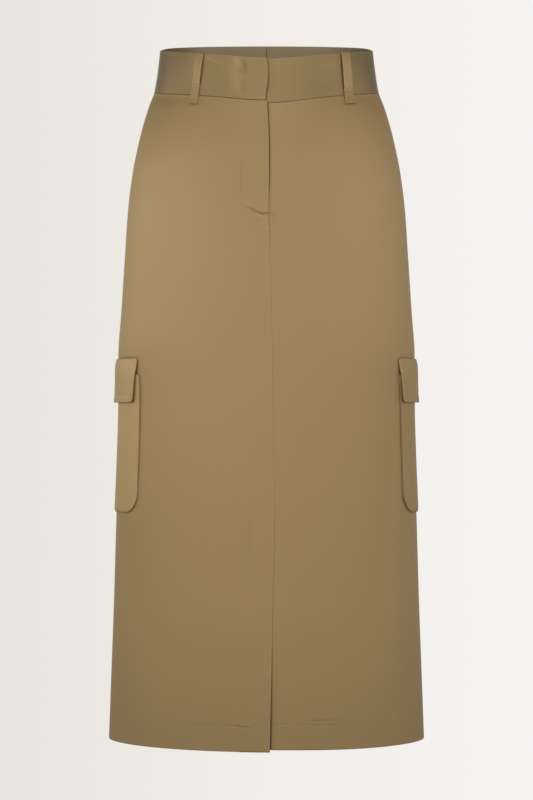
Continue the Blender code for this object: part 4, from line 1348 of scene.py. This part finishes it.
class SKIRT_OT_panels(bpy.types.Operator):
    """Two fronts that lap at the fly and the vent, and two backs, each with its turned hem"""

    bl_idname = "skirt.panels"
    bl_label = "Panels"

    def execute(self, context):
        for side in WORD:
            front_panel(side)
            back_panel(side)
        return {"FINISHED"}


class SKIRT_OT_waistband(bpy.types.Operator):
    """Both halves of the waistband, the right end over the left one"""

    bl_idname = "skirt.waistband"
    bl_label = "Waistband"

    def execute(self, context):
        for side in WORD:
            waistband(side)
        return {"FINISHED"}


class SKIRT_OT_belt_loops(bpy.types.Operator):
    """Five belt loops: two at the front, two at the sides and one at the back"""

    bl_idname = "skirt.belt_loops"
    bl_label = "Belt loops"

    def execute(self, context):
        for row in LOOPS:
            belt_loop(**dict(zip(LOOP_COLUMNS, row)))
        return {"FINISHED"}


class SKIRT_OT_pockets(bpy.types.Operator):
    """Cargo pockets over the side seams: faces, gussets and flaps"""

    bl_idname = "skirt.pockets"
    bl_label = "Cargo pockets"

    def execute(self, context):
        for side in WORD:
            pocket_gusset(side)
            pocket_face(side)
            pocket_flap(side)
        return {"FINISHED"}


class SKIRT_OT_fly(bpy.types.Operator):
    """What closes the front: facing, zip tape, coil, slider and the band's hook"""

    bl_idname = "skirt.fly"
    bl_label = "Fly and hook"

    def execute(self, context):
        fly_facing()
        zip_tape()
        zip_coil()
        zip_slider()
        waist_hook()
        return {"FINISHED"}


class SKIRT_OT_studio(bpy.types.Operator):
    """Pale floor and surround, soft lights and the camera"""

    bl_idname = "skirt.studio"
    bl_label = "Studio"

    def execute(self, context):
        floor_disc()
        backdrop_world()
        for row in LIGHTS:
            soft_light(**dict(zip(LIGHT_COLUMNS, row)))
        studio_camera()
        context.scene.view_settings.view_transform = "Standard"
        return {"FINISHED"}


STEPS = (
    SKIRT_OT_panels,
    SKIRT_OT_waistband,
    SKIRT_OT_belt_loops,
    SKIRT_OT_pockets,
    SKIRT_OT_fly,
    SKIRT_OT_studio,
)


class SKIRT_PT_sidebar(bpy.types.Panel):
    """Lists the skirt's settings and the steps that build it"""

    bl_label = "Cargo skirt"
    bl_idname = "SKIRT_PT_sidebar"
    bl_space_type = "VIEW_3D"
    bl_region_type = "UI"
    bl_category = "Skirt"

    def draw(self, context):
        for group in (context.scene.skirt_sizes, context.scene.skirt_colours):
            column = self.layout.column(align=True)
            for name in group.__annotations__:
                column.prop(group, name)
        column = self.layout.column(align=True)
        for step in STEPS:
            column.operator(step.bl_idname)


CLASSES = (SkirtSizes, SkirtColours, *STEPS, SKIRT_PT_sidebar)


def register():
    for one in CLASSES:
        bpy.utils.register_class(one)
    bpy.types.Scene.skirt_sizes = PointerProperty(type=SkirtSizes)
    bpy.types.Scene.skirt_colours = PointerProperty(type=SkirtColours)


def unregister():
    del bpy.types.Scene.skirt_colours
    del bpy.types.Scene.skirt_sizes
    for one in reversed(CLASSES):
        bpy.utils.unregister_class(one)


def main():
    register()
    for step in STEPS:
        group, name = step.bl_idname.split(".")
        getattr(getattr(bpy.ops, group), name)()


if __name__ == "__main__":
    main()
